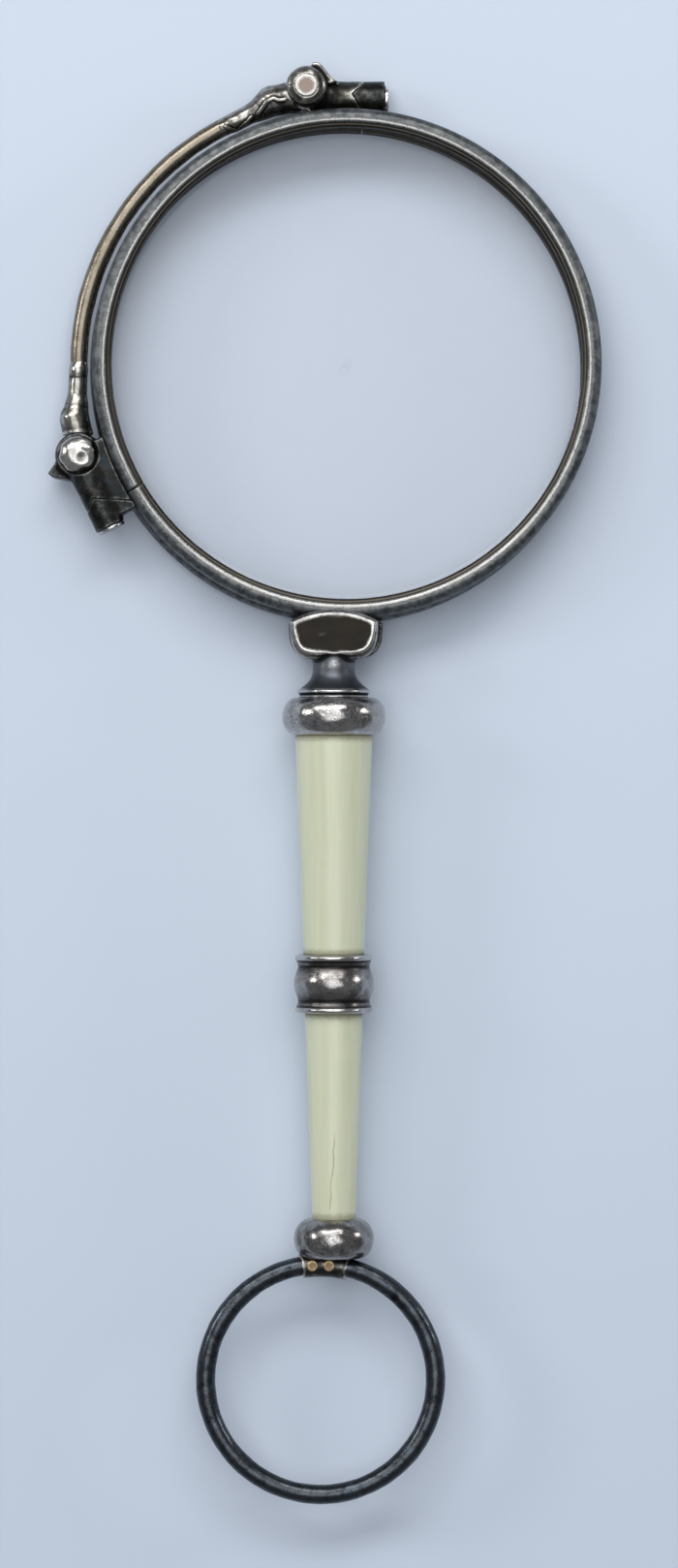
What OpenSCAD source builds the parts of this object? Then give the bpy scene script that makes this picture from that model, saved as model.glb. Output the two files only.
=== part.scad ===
// Folding lorgnette with two sprung rims, a curved bridge, a turned handle and a finger ring.
// It lies on its back: +X to the right, +Y from the finger ring towards the rims, +Z to the front.
// The front rim and the handle are one body; the bridge and the rear rim fold out from behind it.

/* [Rims] */
// Outer radius of each eye rim
rim_r = 20.55; // [19:0.05:22]
// Width of the rim band, from its outer to its inner edge
rim_w = 1.6; // [1.4:0.05:2]
// Depth of each rim, front to back
rim_t = 2.5; // [2.2:0.05:2.9]
// Radius that rounds the rim's edges
rim_round = 0.62; // [0.4:0.02:0.68]
// Running gap between the two folded rims
rim_gap = 0.15; // [0.1:0.01:0.3]
// How far the folded rear rim hangs to the left of the front one
rear_shift = 0.25; // [0:0.05:0.35]
// How far the folded rear rim hangs below the front one
rear_drop = 0.3; // [0:0.05:0.4]
// Width of the saw cut that lets a rim open for its lens
saw_w = 0.12; // [0.08:0.01:0.2]

/* [Lenses] */
// Thickness of a lens at its centre
lens_t = 1.5; // [1.2:0.05:1.8]
// Thickness of a lens at its edge
lens_edge_t = 0.9; // [0.7:0.05:1.1]
// Depth of the groove that holds the lens
groove_d = 0.4; // [0.25:0.05:0.5]
// Clearance between a lens and its groove
lens_play = 0.03; // [0.01:0.01:0.06]

/* [Hinges] */
// Radius of the hinge rivets
rivet_r = 0.5; // [0.4:0.02:0.6]
// Running clearance round a rivet
rivet_play = 0.04; // [0.02:0.01:0.08]
// Thickness of the bridge's tongue between the two leaves
tongue_t = 1.2; // [1:0.05:1.4]
// Play of the tongue between the leaves, each side
tongue_play = 0.06; // [0.03:0.01:0.1]
// Thickness of each leaf
leaf_t = 0.9; // [0.8:0.05:1.1]
// Clearance round the knuckle and the tongue's eye
knuckle_play = 0.1; // [0.06:0.01:0.15]
// Gap between the rim and the upper knuckle
upper_hinge_gap = 0.58; // [0.5:0.02:1]
// Direction of the upper hinge from the rims' centre
upper_hinge_a = 98.3; // [94:0.1:102]
// Radius of the upper knuckle
upper_knuckle_r = 1.47; // [1.4:0.01:1.6]
// Gap between the rim and the lower knuckle
lower_hinge_gap = 0.45; // [0.4:0.05:0.8]
// Direction of the lower hinge from the rims' centre
lower_hinge_a = 198.7; // [195:0.1:202]
// Radius of the lower knuckle
lower_knuckle_r = 1.85; // [1.7:0.01:1.88]
// Height to which the upper knuckle's front is domed
upper_dome = 0.6; // [0.3:0.05:0.8]
// Height to which the lower knuckle's front is domed
lower_dome = 0.25; // [0.1:0.05:0.4]
// Radius of the upper rivet's flat front end
upper_head_r = 0.65; // [0.55:0.01:0.7]
// Height of the upper rivet's flat front end
upper_head_h = 0.08; // [0.04:0.01:0.15]
// Radius of the lower rivet's polished dome
lower_head_r = 1.5; // [1.2:0.05:1.55]
// Height of the lower rivet's polished dome
lower_head_h = 0.65; // [0.4:0.05:0.9]
// Width of the flat seat round each rivet's front end
seat_w = 0.08; // [0.04:0.01:0.12]
// Clearance round the rivets' heads
head_play = 0.02; // [0.01:0.01:0.05]
// Radius of the flat heads at the back of both rivets
tail_r = 0.85; // [0.7:0.05:1]
// Height of the flat heads at the back of both rivets
tail_h = 0.3; // [0.2:0.02:0.4]
// How far the upper stop fin stands out from its pin
upper_fin = 1.94; // [1.85:0.01:2.1]
// How far the lower stop fin stands out from its pin
lower_fin = 2.83; // [2.4:0.01:2.95]
// Where the upper fin's tip stands along the barrel, from its pin
upper_fin_x = 0.5; // [0.4:0.01:0.6]
// Where the lower fin's tip stands along the barrel, from its pin
lower_fin_x = 0.31; // [0.2:0.01:0.4]
// Lean of the upper fin's flank, from its root to its tip
upper_fin_lean = 0.08; // [0:0.02:0.3]
// Lean of the lower fin's flank, from its root to its tip
lower_fin_lean = 0.5; // [0.2:0.02:0.6]
// Width of the upper fin's blunt tip
upper_fin_flat = 0.35; // [0.1:0.01:0.5]
// Width of the lower fin's blunt tip
lower_fin_flat = 0.02; // [0:0.01:0.1]
// Length of a fin's slope, down to its barrel
fin_run = 1.65; // [1.4:0.05:1.9]
// Gap between an arm's flat shoulder and its knuckle
shoulder_gap = 0.3; // [0.15:0.01:0.4]
// Lean of the upper arm's shoulder, in degrees
upper_lean = 16; // [10:1:20]
// Lean of the lower arm's shoulder, in degrees
lower_lean = 25.5; // [20:0.5:28]
// Height of the coiled hinge springs
spring_h = 0.5; // [0.4:0.05:0.6]
// Width of the coiled hinge springs
spring_w = 0.4; // [0.3:0.02:0.45]
// Play of the springs round their rivets and under the tongues
spring_play = 0.08; // [0.05:0.01:0.1]

/* [Closing barrels] */
// Radius of the barrels
barrel_r = 1.18; // [1.05:0.01:1.2]
// Length from a hinge pin to its barrel's end
barrel_len = 6.65; // [6.2:0.05:7]
// Offset of the upper barrel's axis from its pin, towards the rim
upper_barrel_in = 0.74; // [0.6:0.02:0.8]
// Direction in which the upper barrel runs
upper_barrel_a = 0; // [-3:0.5:3]
// Offset of the lower barrel's axis from its pin, towards the rim
lower_barrel_in = -0.1; // [-0.16:0.02:0.2]
// Direction in which the lower barrel runs
lower_barrel_a = -64.5; // [-68:0.5:-62]
// Where the V-shaped joint meets the barrel's sides, from the pin
joint_x = 4.55; // [4.2:0.05:4.8]
// Depth of the V
joint_v = 0.8; // [0.5:0.05:1]
// Offset of the V's point from the barrel's axis, away from the rim
joint_up = 0.35; // [0:0.05:0.5]
// Play in the V-shaped joint
joint_play = 0.06; // [0.04:0.01:0.1]
// Lean of the saw cut across the rim, in degrees
saw_lean = 30; // [20:1:36]
// Where a knuckle's neck runs out on its barrel, from the pin
block_neck_x = 2.4; // [2.2:0.05:2.8]
// Thickness of the web between barrel and rim
web_t = 1.7; // [1.4:0.05:2]
// Where the closing screws' shanks begin, from the pin
screw_from = 2; // [1.8:0.05:2.3]
// Radius of the closing screws' shanks
screw_r = 0.45; // [0.35:0.01:0.5]
// Radial clearance round the closing screws
screw_play = 0.03; // [0.01:0.01:0.05]
// Radius of the closing screws' heads
screw_head_r = 1.12; // [1:0.01:1.18]
// Thickness of the closing screws' heads
screw_head_t = 0.32; // [0.25:0.01:0.4]
// Width of the slot in the closing screws' heads
screw_slot_w = 0.18; // [0.12:0.01:0.25]

/* [Bridge] */
// Gap between the front rim and the bridge bar
bridge_gap = 0.38; // [0.35:0.01:0.7]
// Diameter of the bridge bar
bridge_d = 1.45; // [1.2:0.05:1.5]
// Direction of the bar's upper end from the rims' centre
bridge_from = 118; // [114:0.5:122]
// Direction of the bar's lower end from the rims' centre
bridge_to = 180; // [176:0.5:183]
// Radius of the upper arm's shoulder
upper_shoulder_r = 1.2; // [1.1:0.02:1.24]
// Radius of the lower arm's shoulder
lower_shoulder_r = 1.27; // [1.15:0.01:1.32]
// Offset of the upper shoulder from the pin, towards the rim
upper_shoulder_in = 0.84; // [0.7:0.02:0.9]
// Offset of the lower shoulder from the pin, towards the rim
lower_shoulder_in = 0.62; // [0.5:0.02:0.7]
// Distance of an arm's waist from its pin
arm_waist_x = 2.9; // [2.6:0.05:3.1]
// Distance of an arm's neck from its pin
arm_neck_x = 3.75; // [3.4:0.05:4.2]
// Radius at the waist as a share of the shoulder's radius
arm_waist_k = 0.86; // [0.75:0.01:0.92]
// Radius at the neck as a share of the shoulder's radius
arm_neck_k = 0.62; // [0.58:0.01:0.7]
// How much nearer the rim the waist lies than the shoulder
arm_waist_in = 0.35; // [0.2:0.05:0.4]
// How much nearer the rim the neck lies than the shoulder
arm_neck_in = 0.96; // [0.8:0.02:1]
// Depth of an arm, front to back, as a multiple of its width
arm_deep = 1.12; // [1:0.02:1.15]
// Width of the bridge's tongues
tongue_w = 1.3; // [1:0.05:1.4]
// How far a tongue runs into its arm
tongue_root = 0.3; // [0.2:0.05:0.4]

/* [Head] */
// Width of the shield-shaped head
head_w = 7.1; // [6.6:0.05:7.4]
// How far the top of the head's arch lies over the rim
head_lap = 0.75; // [0.55:0.05:0.95]
// How far the head's corners lie outside the rim
corner_drop = 0.15; // [0.05:0.05:0.35]
// Length of the head from its corners to its foot
shield_len = 3.17; // [2.9:0.01:3.5]
// How far the head stands in front of the front rim
head_proud = 0.8; // [0.75:0.05:1]
// Width of the head's front bevel
bevel_w = 0.28; // [0.15:0.02:0.4]
// Height of the head's front bevel
bevel_h = 0.4; // [0.2:0.02:0.5]
// Width of the rear lug
lug_w = 7.6; // [7.1:0.05:7.8]
// How far the rear lug is set to the right of the handle's axis
lug_right = 0.15; // [0:0.01:0.2]
// How far the rear lug's foot stops short of the head's foot
lug_short = 0.16; // [0.14:0.02:0.4]
// How much lower the rear lug's corners lie than the head's
lug_drop = 0.2; // [0.1:0.02:0.3]
// Radius of the dimple in the lug that the catch pin drops into
dimple_r = 0.45; // [0.35:0.01:0.5]
// Radius of the catch pin
catch_r = 0.47; // [0.4:0.01:0.55]
// Radial clearance round the catch pin
catch_play = 0.04; // [0.02:0.01:0.08]
// How far the catch pin stands out of the head at rest
catch_out = 0.1; // [0.05:0.01:0.11]
// Length of the catch pin inside the head
catch_len = 1.3; // [1:0.05:1.5]
// Travel of the catch pin
catch_travel = 0.3; // [0.2:0.02:0.35]
// Length of the catch spring
catch_spring_l = 0.7; // [0.5:0.05:0.8]
// Wall of the catch spring
catch_spring_t = 0.17; // [0.12:0.01:0.2]
// Clearance round the catch spring
catch_spring_play = 0.05; // [0.03:0.01:0.08]

/* [Handle] */
// Offset of the handle's axis to the left of the rims' centre
handle_off = 1.04; // [0.8:0.02:1.2]
// Length of the neck with its step ring
neck_len = 3.03; // [2.8:0.01:3.3]
// Radius of the neck
neck_r = 1.7; // [1.5:0.02:1.74]
// Radius of the step ring at the foot of the neck
step_r = 2.98; // [2.7:0.02:3.1]
// Radius of the upper bead
bead_r = 4.17; // [4:0.01:4.4]
// Length of the upper bead
bead_len = 3.05; // [2.8:0.05:3.4]
// Length of the upper grip
upper_grip_len = 17.63; // [15:0.01:20]
// Radius of the upper grip at its top
grip_top_r = 3.11; // [2.9:0.01:3.2]
// Radius of the upper grip at its foot
grip_mid_r = 2.44; // [2.3:0.01:2.6]
// Length of the middle collar
collar_len = 4.68; // [4.2:0.01:5.2]
// Radius of the collar's two lips
lip_r = 3.14; // [3:0.01:3.3]
// Radius of the collar's grooves
collar_groove_r = 2.88; // [2.75:0.01:2.95]
// Radius of the collar's bulge
bulge_r = 3.24; // [3.1:0.01:3.4]
// Length of the lower grip
lower_grip_len = 16.54; // [14:0.01:19]
// Radius of the lower grip at its top
lower_grip_r = 2.34; // [2.2:0.01:2.5]
// Radius of the lower grip at its foot
grip_foot_r = 1.74; // [1.6:0.01:1.9]
// Radius of the lower bead
foot_bead_r = 3.23; // [3:0.01:3.4]
// Length of the lower bead
foot_bead_len = 3.2; // [3:0.05:3.6]
// Radius of the flat under the lower bead
foot_flat_r = 2.1; // [1.8:0.05:2.4]
// Depth of the dish in which the lower grip sits
dish_d = 0.35; // [0.2:0.05:0.5]
// Clearance round the grip in its dish
dish_play = 0.03; // [0.01:0.01:0.06]
// Width of the narrow shoulder at a bead's end
bead_lip = 0.1; // [0.05:0.01:0.15]
// Radius of the rod that runs through the handle
rod_r = 0.8; // [0.6:0.02:0.9]
// Clearance round the rod
rod_play = 0.02; // [0.01:0.01:0.05]
// Clearance at the rod's two ends
rod_end_play = 0.05; // [0.02:0.01:0.1]
// How far the rod runs up into the neck
rod_in_neck = 1.9; // [1.5:0.05:2.2]
// How far the rod's end stays above the foot
rod_above_foot = 0.7; // [0.55:0.05:1]

/* [Finger ring] */
// Radius of the finger ring's centreline
ring_r = 9.26; // [8.5:0.02:10.5]
// Radius of the finger ring's wire
ring_wire_r = 0.79; // [0.7:0.01:0.9]
// Offset of the finger ring to the left of the handle's axis
ring_off = 1.07; // [0.8:0.01:1.3]
// Depth to which the finger ring is let into the lower bead
ring_seat = 0.25; // [0.15:0.01:0.35]
// Wall of the strap that holds the finger ring
strap_t = 0.2; // [0.15:0.01:0.25]
// Play between the strap and the ring's wire
strap_play = 0.01; // [0.01:0.01:0.03]
// Direction of the strap's right end, seen from the ring's centre
strap_from = 76; // [72:1:80]
// Angle that the strap spans
strap_span = 24; // [20:1:28]
// Radius of the brass rivets in the finger ring
ring_rivet_r = 0.46; // [0.4:0.01:0.5]
// How far the brass rivets stand out of the strap
ring_rivet_out = 0.08; // [0.05:0.01:0.12]
// Directions of the two brass rivets, seen from the ring's centre
left_rivet_a = 94.1; // [92:0.1:96]
right_rivet_a = 85.8; // [84:0.1:88]

/* [Hidden] */

// Facets of round surfaces, and of the rounded children of a hull
$fn = 96;
soft_fn = 28;
// A cutter's overshoot, and the size of one that only has to be large enough
over = 1;
room = rim_r / 2;
// Thickness of a disc that a hull starts from
thin = 0.1;

// Heights of the two rims and of the plane between them
rear_z = rim_t / 2;
front_z0 = rim_t + rim_gap;
front_z = front_z0 + rim_t / 2;
front_z1 = front_z0 + rim_t;
mid_z = rim_t + rim_gap / 2;
head_z1 = front_z1 + head_proud;
// The handle's axis lies one bead radius up, so the upper bead and the rear rim share a floor
handle_z = bead_r;

// Heights inside a hinge
slot_h = tongue_t + 2 * tongue_play;
knuckle_h = slot_h + 2 * leaf_t;
leaf_back_z = mid_z - knuckle_h / 2;
leaf_front_z = mid_z + knuckle_h / 2;
slot_z = mid_z - slot_h / 2;

// Hinge pins, seen from the rims' centre
upper_hinge_r = rim_r + upper_hinge_gap + upper_knuckle_r;
lower_hinge_r = rim_r + lower_hinge_gap + lower_knuckle_r;
upper_pin = upper_hinge_r * [cos(upper_hinge_a), sin(upper_hinge_a)];
lower_pin = lower_hinge_r * [cos(lower_hinge_a), sin(lower_hinge_a)];

// Centreline of the bridge bar
bridge_r = rim_r + bridge_gap + bridge_d / 2;

// Distances below the rims' centre, down the handle
head_top = rim_r - head_lap;
head_corner = rim_r + corner_drop;
head_foot = head_corner + shield_len;
bead_s = head_foot + neck_len;
upper_grip_s = bead_s + bead_len;
collar_s = upper_grip_s + upper_grip_len;
lower_grip_s = collar_s + collar_len;
foot_bead_s = lower_grip_s + lower_grip_len;
foot_s = foot_bead_s + foot_bead_len;
ring_s = foot_s - ring_seat + ring_r + ring_wire_r;
rod_from = bead_s - rod_in_neck;
rod_to = foot_s - rod_above_foot;

// The origin lies under the middle of the whole object
lower_tip_x = lower_pin[0] + lower_fin_x * cos(lower_barrel_a) + lower_fin * sin(lower_barrel_a);
rim_x = (-lower_tip_x - rim_r) / 2;
rim_y = (ring_s + ring_r + ring_wire_r - upper_pin[1] - upper_fin) / 2;

silver = [0.46, 0.45, 0.43];
dark_silver = [0.2, 0.21, 0.22];
bright_silver = [0.75, 0.74, 0.72];
ivory = [0.8, 0.81, 0.68];
brass = [0.55, 0.47, 0.3];
steel = [0.4, 0.4, 0.42];
clear = [0.8, 0.88, 0.92, 0.35];

// Points of an arc about (x, y)
function arc(x, y, r, from, to, steps = 6) =
  [for (i = [0 : steps]) let (a = from + (to - from) * i / steps) [x + r * cos(a), y + r * sin(a)]];

// Places
module at_rims() translate([rim_x, rim_y, 0]) children();
module at_rear_rim() at_rims() translate([-rear_shift, -rear_drop, 0]) children();
module at_upper_hinge() at_rims() translate(upper_pin) rotate(upper_barrel_a) children();
module at_lower_hinge() at_rims() translate(lower_pin) rotate(lower_barrel_a) mirror([0, 1, 0])
  children();
// Local +z runs down the handle from the rims' centre
module down_handle() translate([rim_x - handle_off, rim_y, handle_z]) rotate([90, 0, 0]) children();
module at_ring() translate([rim_x - handle_off - ring_off, rim_y - ring_s, handle_z]) children();

// A ring or tube about the z axis
module tube(outer, inner, h) difference() {
  cylinder(r = outer, h = h);
  translate([0, 0, -over]) cylinder(r = inner, h = h + 2 * over);
}

// An eye rim about its own centre, with the groove for its lens
module rim_ring() {
  inner = rim_r - rim_w;
  half = rim_t / 2;
  mouth = lens_edge_t / 2 + lens_play;
  rotate_extrude() polygon(concat(
    arc(rim_r - rim_round, half - rim_round, rim_round, 0, 90),
    arc(inner + rim_round, half - rim_round, rim_round, 90, 180),
    [[inner, mouth], [inner + groove_d, 0], [inner, -mouth]],
    arc(inner + rim_round, rim_round - half, rim_round, 180, 270),
    arc(rim_r - rim_round, rim_round - half, rim_round, 270, 360)));
}

// The saw cut through a rim, in the place of its hinge; the cut leans away from the pin
module rim_cut(barrel_in) translate([joint_x - joint_play, -barrel_in - barrel_r, 0])
  rotate(saw_lean) translate([0, -2.8 * rim_w, -rim_t]) cube([saw_w, 2.8 * rim_w, 2 * rim_t]);

module front_rim() color(silver) difference() {
  at_rims() translate([0, 0, front_z]) rim_ring();
  at_lower_hinge() translate([0, 0, front_z]) rim_cut(lower_barrel_in);
}

module rear_rim() color(silver) difference() {
  at_rear_rim() translate([0, 0, rear_z]) rim_ring();
  at_upper_hinge() translate([0, 0, rear_z]) rim_cut(upper_barrel_in);
}

// A thin lens with a bevelled edge in the rim's groove
module lens() {
  steps = 8;
  edge = rim_r - rim_w - lens_play;
  bulge = (lens_t - lens_edge_t) / 2;
  side = [for (i = [0 : steps]) let (r = edge * i / steps)
    [r, lens_edge_t / 2 + bulge * (1 - pow(r / edge, 2))]];
  back = [for (i = [steps : -1 : 0]) [side[i][0], -side[i][1]]];
  rotate_extrude() polygon(concat(side, [[edge + groove_d - lens_play, 0]], back));
}

module front_lens() color(clear) at_rims() translate([0, 0, front_z]) lens();
module rear_lens() color(clear) at_rear_rim() translate([0, 0, rear_z]) lens();

// Everything on the screw's side of a barrel's V-shaped joint, as seen from the front
module past_joint(barrel_in, play) translate([play, -barrel_in, 0])
  linear_extrude(2 * room, center = true) polygon([
    [joint_x - joint_v, joint_up], [joint_x, barrel_r], [joint_x, room], [joint_x + room, room],
    [joint_x + room, -barrel_r - room], [joint_x + room * tan(saw_lean), -barrel_r - room],
    [joint_x, -barrel_r]]);

// Barrel and web, whole; z is the height of the barrel's axis
module barrel_blank(barrel_in, z) {
  start = 1.8 * rivet_r;
  web_start = -0.8 * rivet_r;
  deep = barrel_r + 1.25 * rim_w;
  body = barrel_len - screw_head_t;
  translate([start, -barrel_in, z]) rotate([0, 90, 0]) cylinder(r = barrel_r, h = body - start);
  translate([web_start, -barrel_in - deep, z - web_t / 2]) cube([body, deep, web_t]);
}

// The slot between the leaves, round the tongue's eye
module leaf_slot(knuckle_r) translate([0, 0, slot_z])
  cylinder(r = knuckle_r - knuckle_play / 2, h = slot_h);

// Fall from a fin's tip to its foot, for t from 0 to 1
function fall(t) = t * t * (3 - 2 * t);

// Stop fin on a knuckle: a flank that leans to the tip, a blunt tip and a hollow slope to the foot
module fin(knuckle_r, tip_x, reach, lean, flat, foot_y) difference() {
  translate([0, 0, leaf_back_z]) linear_extrude(knuckle_h) polygon(concat(
    [[tip_x + 2.8 * rivet_r, 0.4 * rivet_r], [tip_x - lean, 1.8 * rivet_r],
      [tip_x - lean, 0.7 * reach], [tip_x, reach]],
    [for (t = [0 : 0.125 : 1]) [tip_x + flat + fin_run * t, reach - (reach - foot_y) * fall(t)]]));
  leaf_slot(knuckle_r);
  cylinder(r = rivet_r, h = leaf_front_z + over);
}

// Height of the flat seat on a knuckle's domed front
function seat_h(knuckle_r, seat_r, dome) = dome * sin(acos(seat_r / knuckle_r));

// Domed front of a knuckle, with the flat seat for its rivet
module knuckle_front(knuckle_r, seat_r, dome) {
  edge = acos(seat_r / knuckle_r);
  rotate_extrude() polygon(concat([[0, 0]],
    [for (i = [0 : 6]) [knuckle_r * cos(edge * i / 6), dome * sin(edge * i / 6)]],
    [[0, dome * sin(edge)]]));
}

// What a knuckle's rivet and tongue take out of it, about its own pin
module knuckle_hollows(knuckle_r, seat_r, dome) {
  leaf_slot(knuckle_r);
  translate([-room, -room, slot_z]) cube([room + rivet_r, 2 * room, slot_h]);
  translate([0, 0, -over]) cylinder(r = rivet_r, h = room);
  translate([0, 0, leaf_front_z + seat_h(knuckle_r, seat_r, dome)])
    cylinder(r = seat_r + head_play, h = room);
  translate([0, 0, leaf_back_z - room]) cylinder(r = tail_r + head_play, h = room);
}

// Bore for a closing screw
module screw_bore(from, barrel_in, z) translate([from, -barrel_in, z]) rotate([0, 90, 0])
  cylinder(r = screw_r + screw_play, h = barrel_len + over);

// Knuckle with its leaves and the fixed half of the barrel, about its own pin
module hinge_block(knuckle_r, barrel_in, barrel_z, seat_r, dome) difference() {
  union() {
    translate([0, 0, leaf_back_z]) cylinder(r = knuckle_r, h = knuckle_h);
    translate([0, 0, leaf_front_z]) knuckle_front(knuckle_r, seat_r, dome);
    hull() {
      translate([0.4 * rivet_r, 0, leaf_back_z])
        cylinder(r = knuckle_r - rivet_r / 2, h = knuckle_h, $fn = 32);
      translate([block_neck_x, -barrel_in, barrel_z]) rotate([0, 90, 0])
        cylinder(r = barrel_r, h = thin, $fn = 32);
    }
    difference() {
      barrel_blank(barrel_in, barrel_z);
      past_joint(barrel_in, -joint_play);
    }
  }
  knuckle_hollows(knuckle_r, seat_r, dome);
  screw_bore(screw_from - 2 * head_play, barrel_in, barrel_z);
}

// The screw's half of a barrel, with its share of the web
module closing_barrel(barrel_in, barrel_z) difference() {
  intersection() {
    barrel_blank(barrel_in, barrel_z);
    past_joint(barrel_in, 0);
  }
  screw_bore(0, barrel_in, barrel_z);
}

module closing_screw(barrel_in, barrel_z) translate([0, -barrel_in, barrel_z]) rotate([0, 90, 0])
  difference() {
    head_x = barrel_len - screw_head_t;
    union() {
      translate([0, 0, screw_from]) cylinder(r = screw_r, h = head_x - screw_from);
      translate([0, 0, head_x]) cylinder(r = screw_head_r, h = screw_head_t);
    }
    translate([-screw_slot_w / 2, -over - screw_head_r, barrel_len - screw_head_t / 2])
      cube([screw_slot_w, 2 * (over + screw_head_r), over]);
  }

// Space that a rim takes up, cut out of what is soldered to its outside
module rim_space(z) translate([0, 0, z - rim_t / 2 - over])
  cylinder(r = rim_r, h = rim_t + 2 * over);

// Barrel side that a fin's foot runs out on
upper_foot_y = 0.97 * barrel_r - upper_barrel_in;
lower_foot_y = 0.97 * barrel_r - lower_barrel_in;
upper_seat_r = upper_head_r + 3 * seat_w;
lower_seat_r = lower_head_r + seat_w;

module front_hinge_block() color(dark_silver) difference() {
  at_lower_hinge() {
    hinge_block(lower_knuckle_r, lower_barrel_in, front_z, lower_seat_r, lower_dome);
    fin(lower_knuckle_r, lower_fin_x, lower_fin, lower_fin_lean, lower_fin_flat, lower_foot_y);
  }
  at_rims() rim_space(front_z);
}

module front_closing_barrel() color(dark_silver) difference() {
  at_lower_hinge() closing_barrel(lower_barrel_in, front_z);
  at_rims() rim_space(front_z);
}

module front_closing_screw() color(steel) at_lower_hinge()
  closing_screw(lower_barrel_in, front_z);

module rear_hinge_block() color(silver) difference() {
  at_upper_hinge() {
    hinge_block(upper_knuckle_r, upper_barrel_in, rear_z, upper_seat_r, upper_dome);
    fin(upper_knuckle_r, upper_fin_x, upper_fin, upper_fin_lean, upper_fin_flat, upper_foot_y);
  }
  at_rear_rim() translate([0, 0, rear_z - rim_t]) cylinder(r = rim_r, h = 1.5 * rim_t);
}

module rear_closing_barrel() color(dark_silver) difference() {
  at_upper_hinge() closing_barrel(upper_barrel_in, rear_z);
  at_rear_rim() rim_space(rear_z);
}

module rear_closing_screw() color(bright_silver) at_upper_hinge()
  closing_screw(upper_barrel_in, rear_z);

// Pin and back head of a rivet
module rivet_shank(top) {
  translate([0, 0, leaf_back_z - tail_h]) cylinder(r = tail_r, h = tail_h);
  translate([0, 0, leaf_back_z - tail_h]) cylinder(r = rivet_r, h = top - leaf_back_z + tail_h);
}

module upper_hinge_rivet() color([0.62, 0.52, 0.48]) at_upper_hinge() {
  seat_z = leaf_front_z + seat_h(upper_knuckle_r, upper_seat_r, upper_dome);
  rivet_shank(seat_z);
  translate([0, 0, seat_z]) cylinder(r = upper_head_r, h = upper_head_h);
}

module lower_hinge_rivet() color(bright_silver) at_lower_hinge() {
  seat_z = leaf_front_z + seat_h(lower_knuckle_r, lower_seat_r, lower_dome);
  rivet_shank(seat_z);
  translate([0, 0, seat_z]) rotate_extrude() polygon(concat([[0, 0]],
    [for (a = [0 : 7.5 : 90]) [lower_head_r * cos(a), lower_head_h * sin(a)]]));
}

// Coiled flat spring round a pin, lying on the rear leaf
spring_in = rivet_r + spring_play;
spring_out = spring_in + spring_w;
module hinge_spring() translate([0, 0, slot_z]) tube(spring_out, spring_in, spring_h);
module upper_hinge_spring() color(steel) at_upper_hinge() hinge_spring();
module lower_hinge_spring() color(steel) at_lower_hinge() hinge_spring();

module bridge_bar() color(silver) at_rims() translate([0, 0, mid_z])
  rotate(bridge_from) rotate_extrude(angle = bridge_to - bridge_from)
    translate([bridge_r, 0]) circle(d = bridge_d);

// The end of the bar in the rims' frame: a thin disc that a hull starts from
module bar_end(a, side) rotate(a) translate([bridge_r, 0, mid_z]) rotate([90 * side, 0, 0])
  cylinder(d = bridge_d, h = thin, $fn = soft_fn);

// A rounded swelling of a cast arm, a little deeper than it is wide
module swell(x, y, r) translate([x, y, mid_z]) scale([1, 1, arm_deep])
  sphere(r = r, $fn = soft_fn);
module waist(r, inset) swell(-arm_waist_x, -inset - arm_waist_in, arm_waist_k * r);
module neck(r, inset) swell(-arm_neck_x, -inset - arm_neck_in, arm_neck_k * r);

// Tongue with its eye, about the pin; its root lies in the arm
module tongue(knuckle_r, lean) translate([0, 0, mid_z - tongue_t / 2]) {
  cylinder(r = knuckle_r - 1.5 * knuckle_play, h = tongue_t);
  rotate(180 + lean) translate([0, -tongue_w / 2, 0])
    cube([knuckle_r + shoulder_gap + tongue_root, tongue_w, tongue_t]);
}

// Hollows of a tongue's eye, for the rivet and for the spring behind the tongue
module eye_hollows() {
  translate([0, 0, -over]) cylinder(r = rivet_r + rivet_play, h = room);
  translate([0, 0, -over])
    cylinder(r = spring_out + tongue_play, h = over + slot_z + spring_h + spring_play);
}

// The flared part of an arm with its tongue, cut off flat at its shoulder, about the pin
module arm_end(knuckle_r, lean, r, inset) {
  away = knuckle_r + shoulder_gap;
  difference() {
    union() {
      hull() {
        swell(-(away - inset * sin(lean)) / cos(lean), -inset, r);
        waist(r, inset);
      }
      hull() {
        waist(r, inset);
        neck(r, inset);
      }
    }
    rotate(180 + lean) translate([-room, -room, -over]) cube([room + away, 2 * room, room]);
  }
  tongue(knuckle_r, lean);
}

module upper_bridge_arm() color(silver) difference() {
  union() {
    at_upper_hinge() arm_end(upper_knuckle_r, upper_lean, upper_shoulder_r, upper_shoulder_in);
    hull() {
      at_upper_hinge() neck(upper_shoulder_r, upper_shoulder_in);
      at_rims() bar_end(bridge_from, 1);
    }
  }
  at_upper_hinge() eye_hollows();
}

module lower_bridge_arm() color(silver) difference() {
  union() {
    at_lower_hinge() arm_end(lower_knuckle_r, lower_lean, lower_shoulder_r, lower_shoulder_in);
    hull() {
      at_lower_hinge() neck(lower_shoulder_r, lower_shoulder_in);
      at_rims() bar_end(bridge_to, -1);
    }
  }
  at_lower_hinge() eye_hollows();
}

// Half of a shield's lower outline, from its corner (t = 0) to the middle of its foot (t = 1)
function shield_side(w, corner, foot, side) = [for (a = [0 : 10 : 90])
  [side * w / 2 * pow(cos(a), 0.44), -corner - (foot - corner) * pow(sin(a), 0.667)]];

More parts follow.
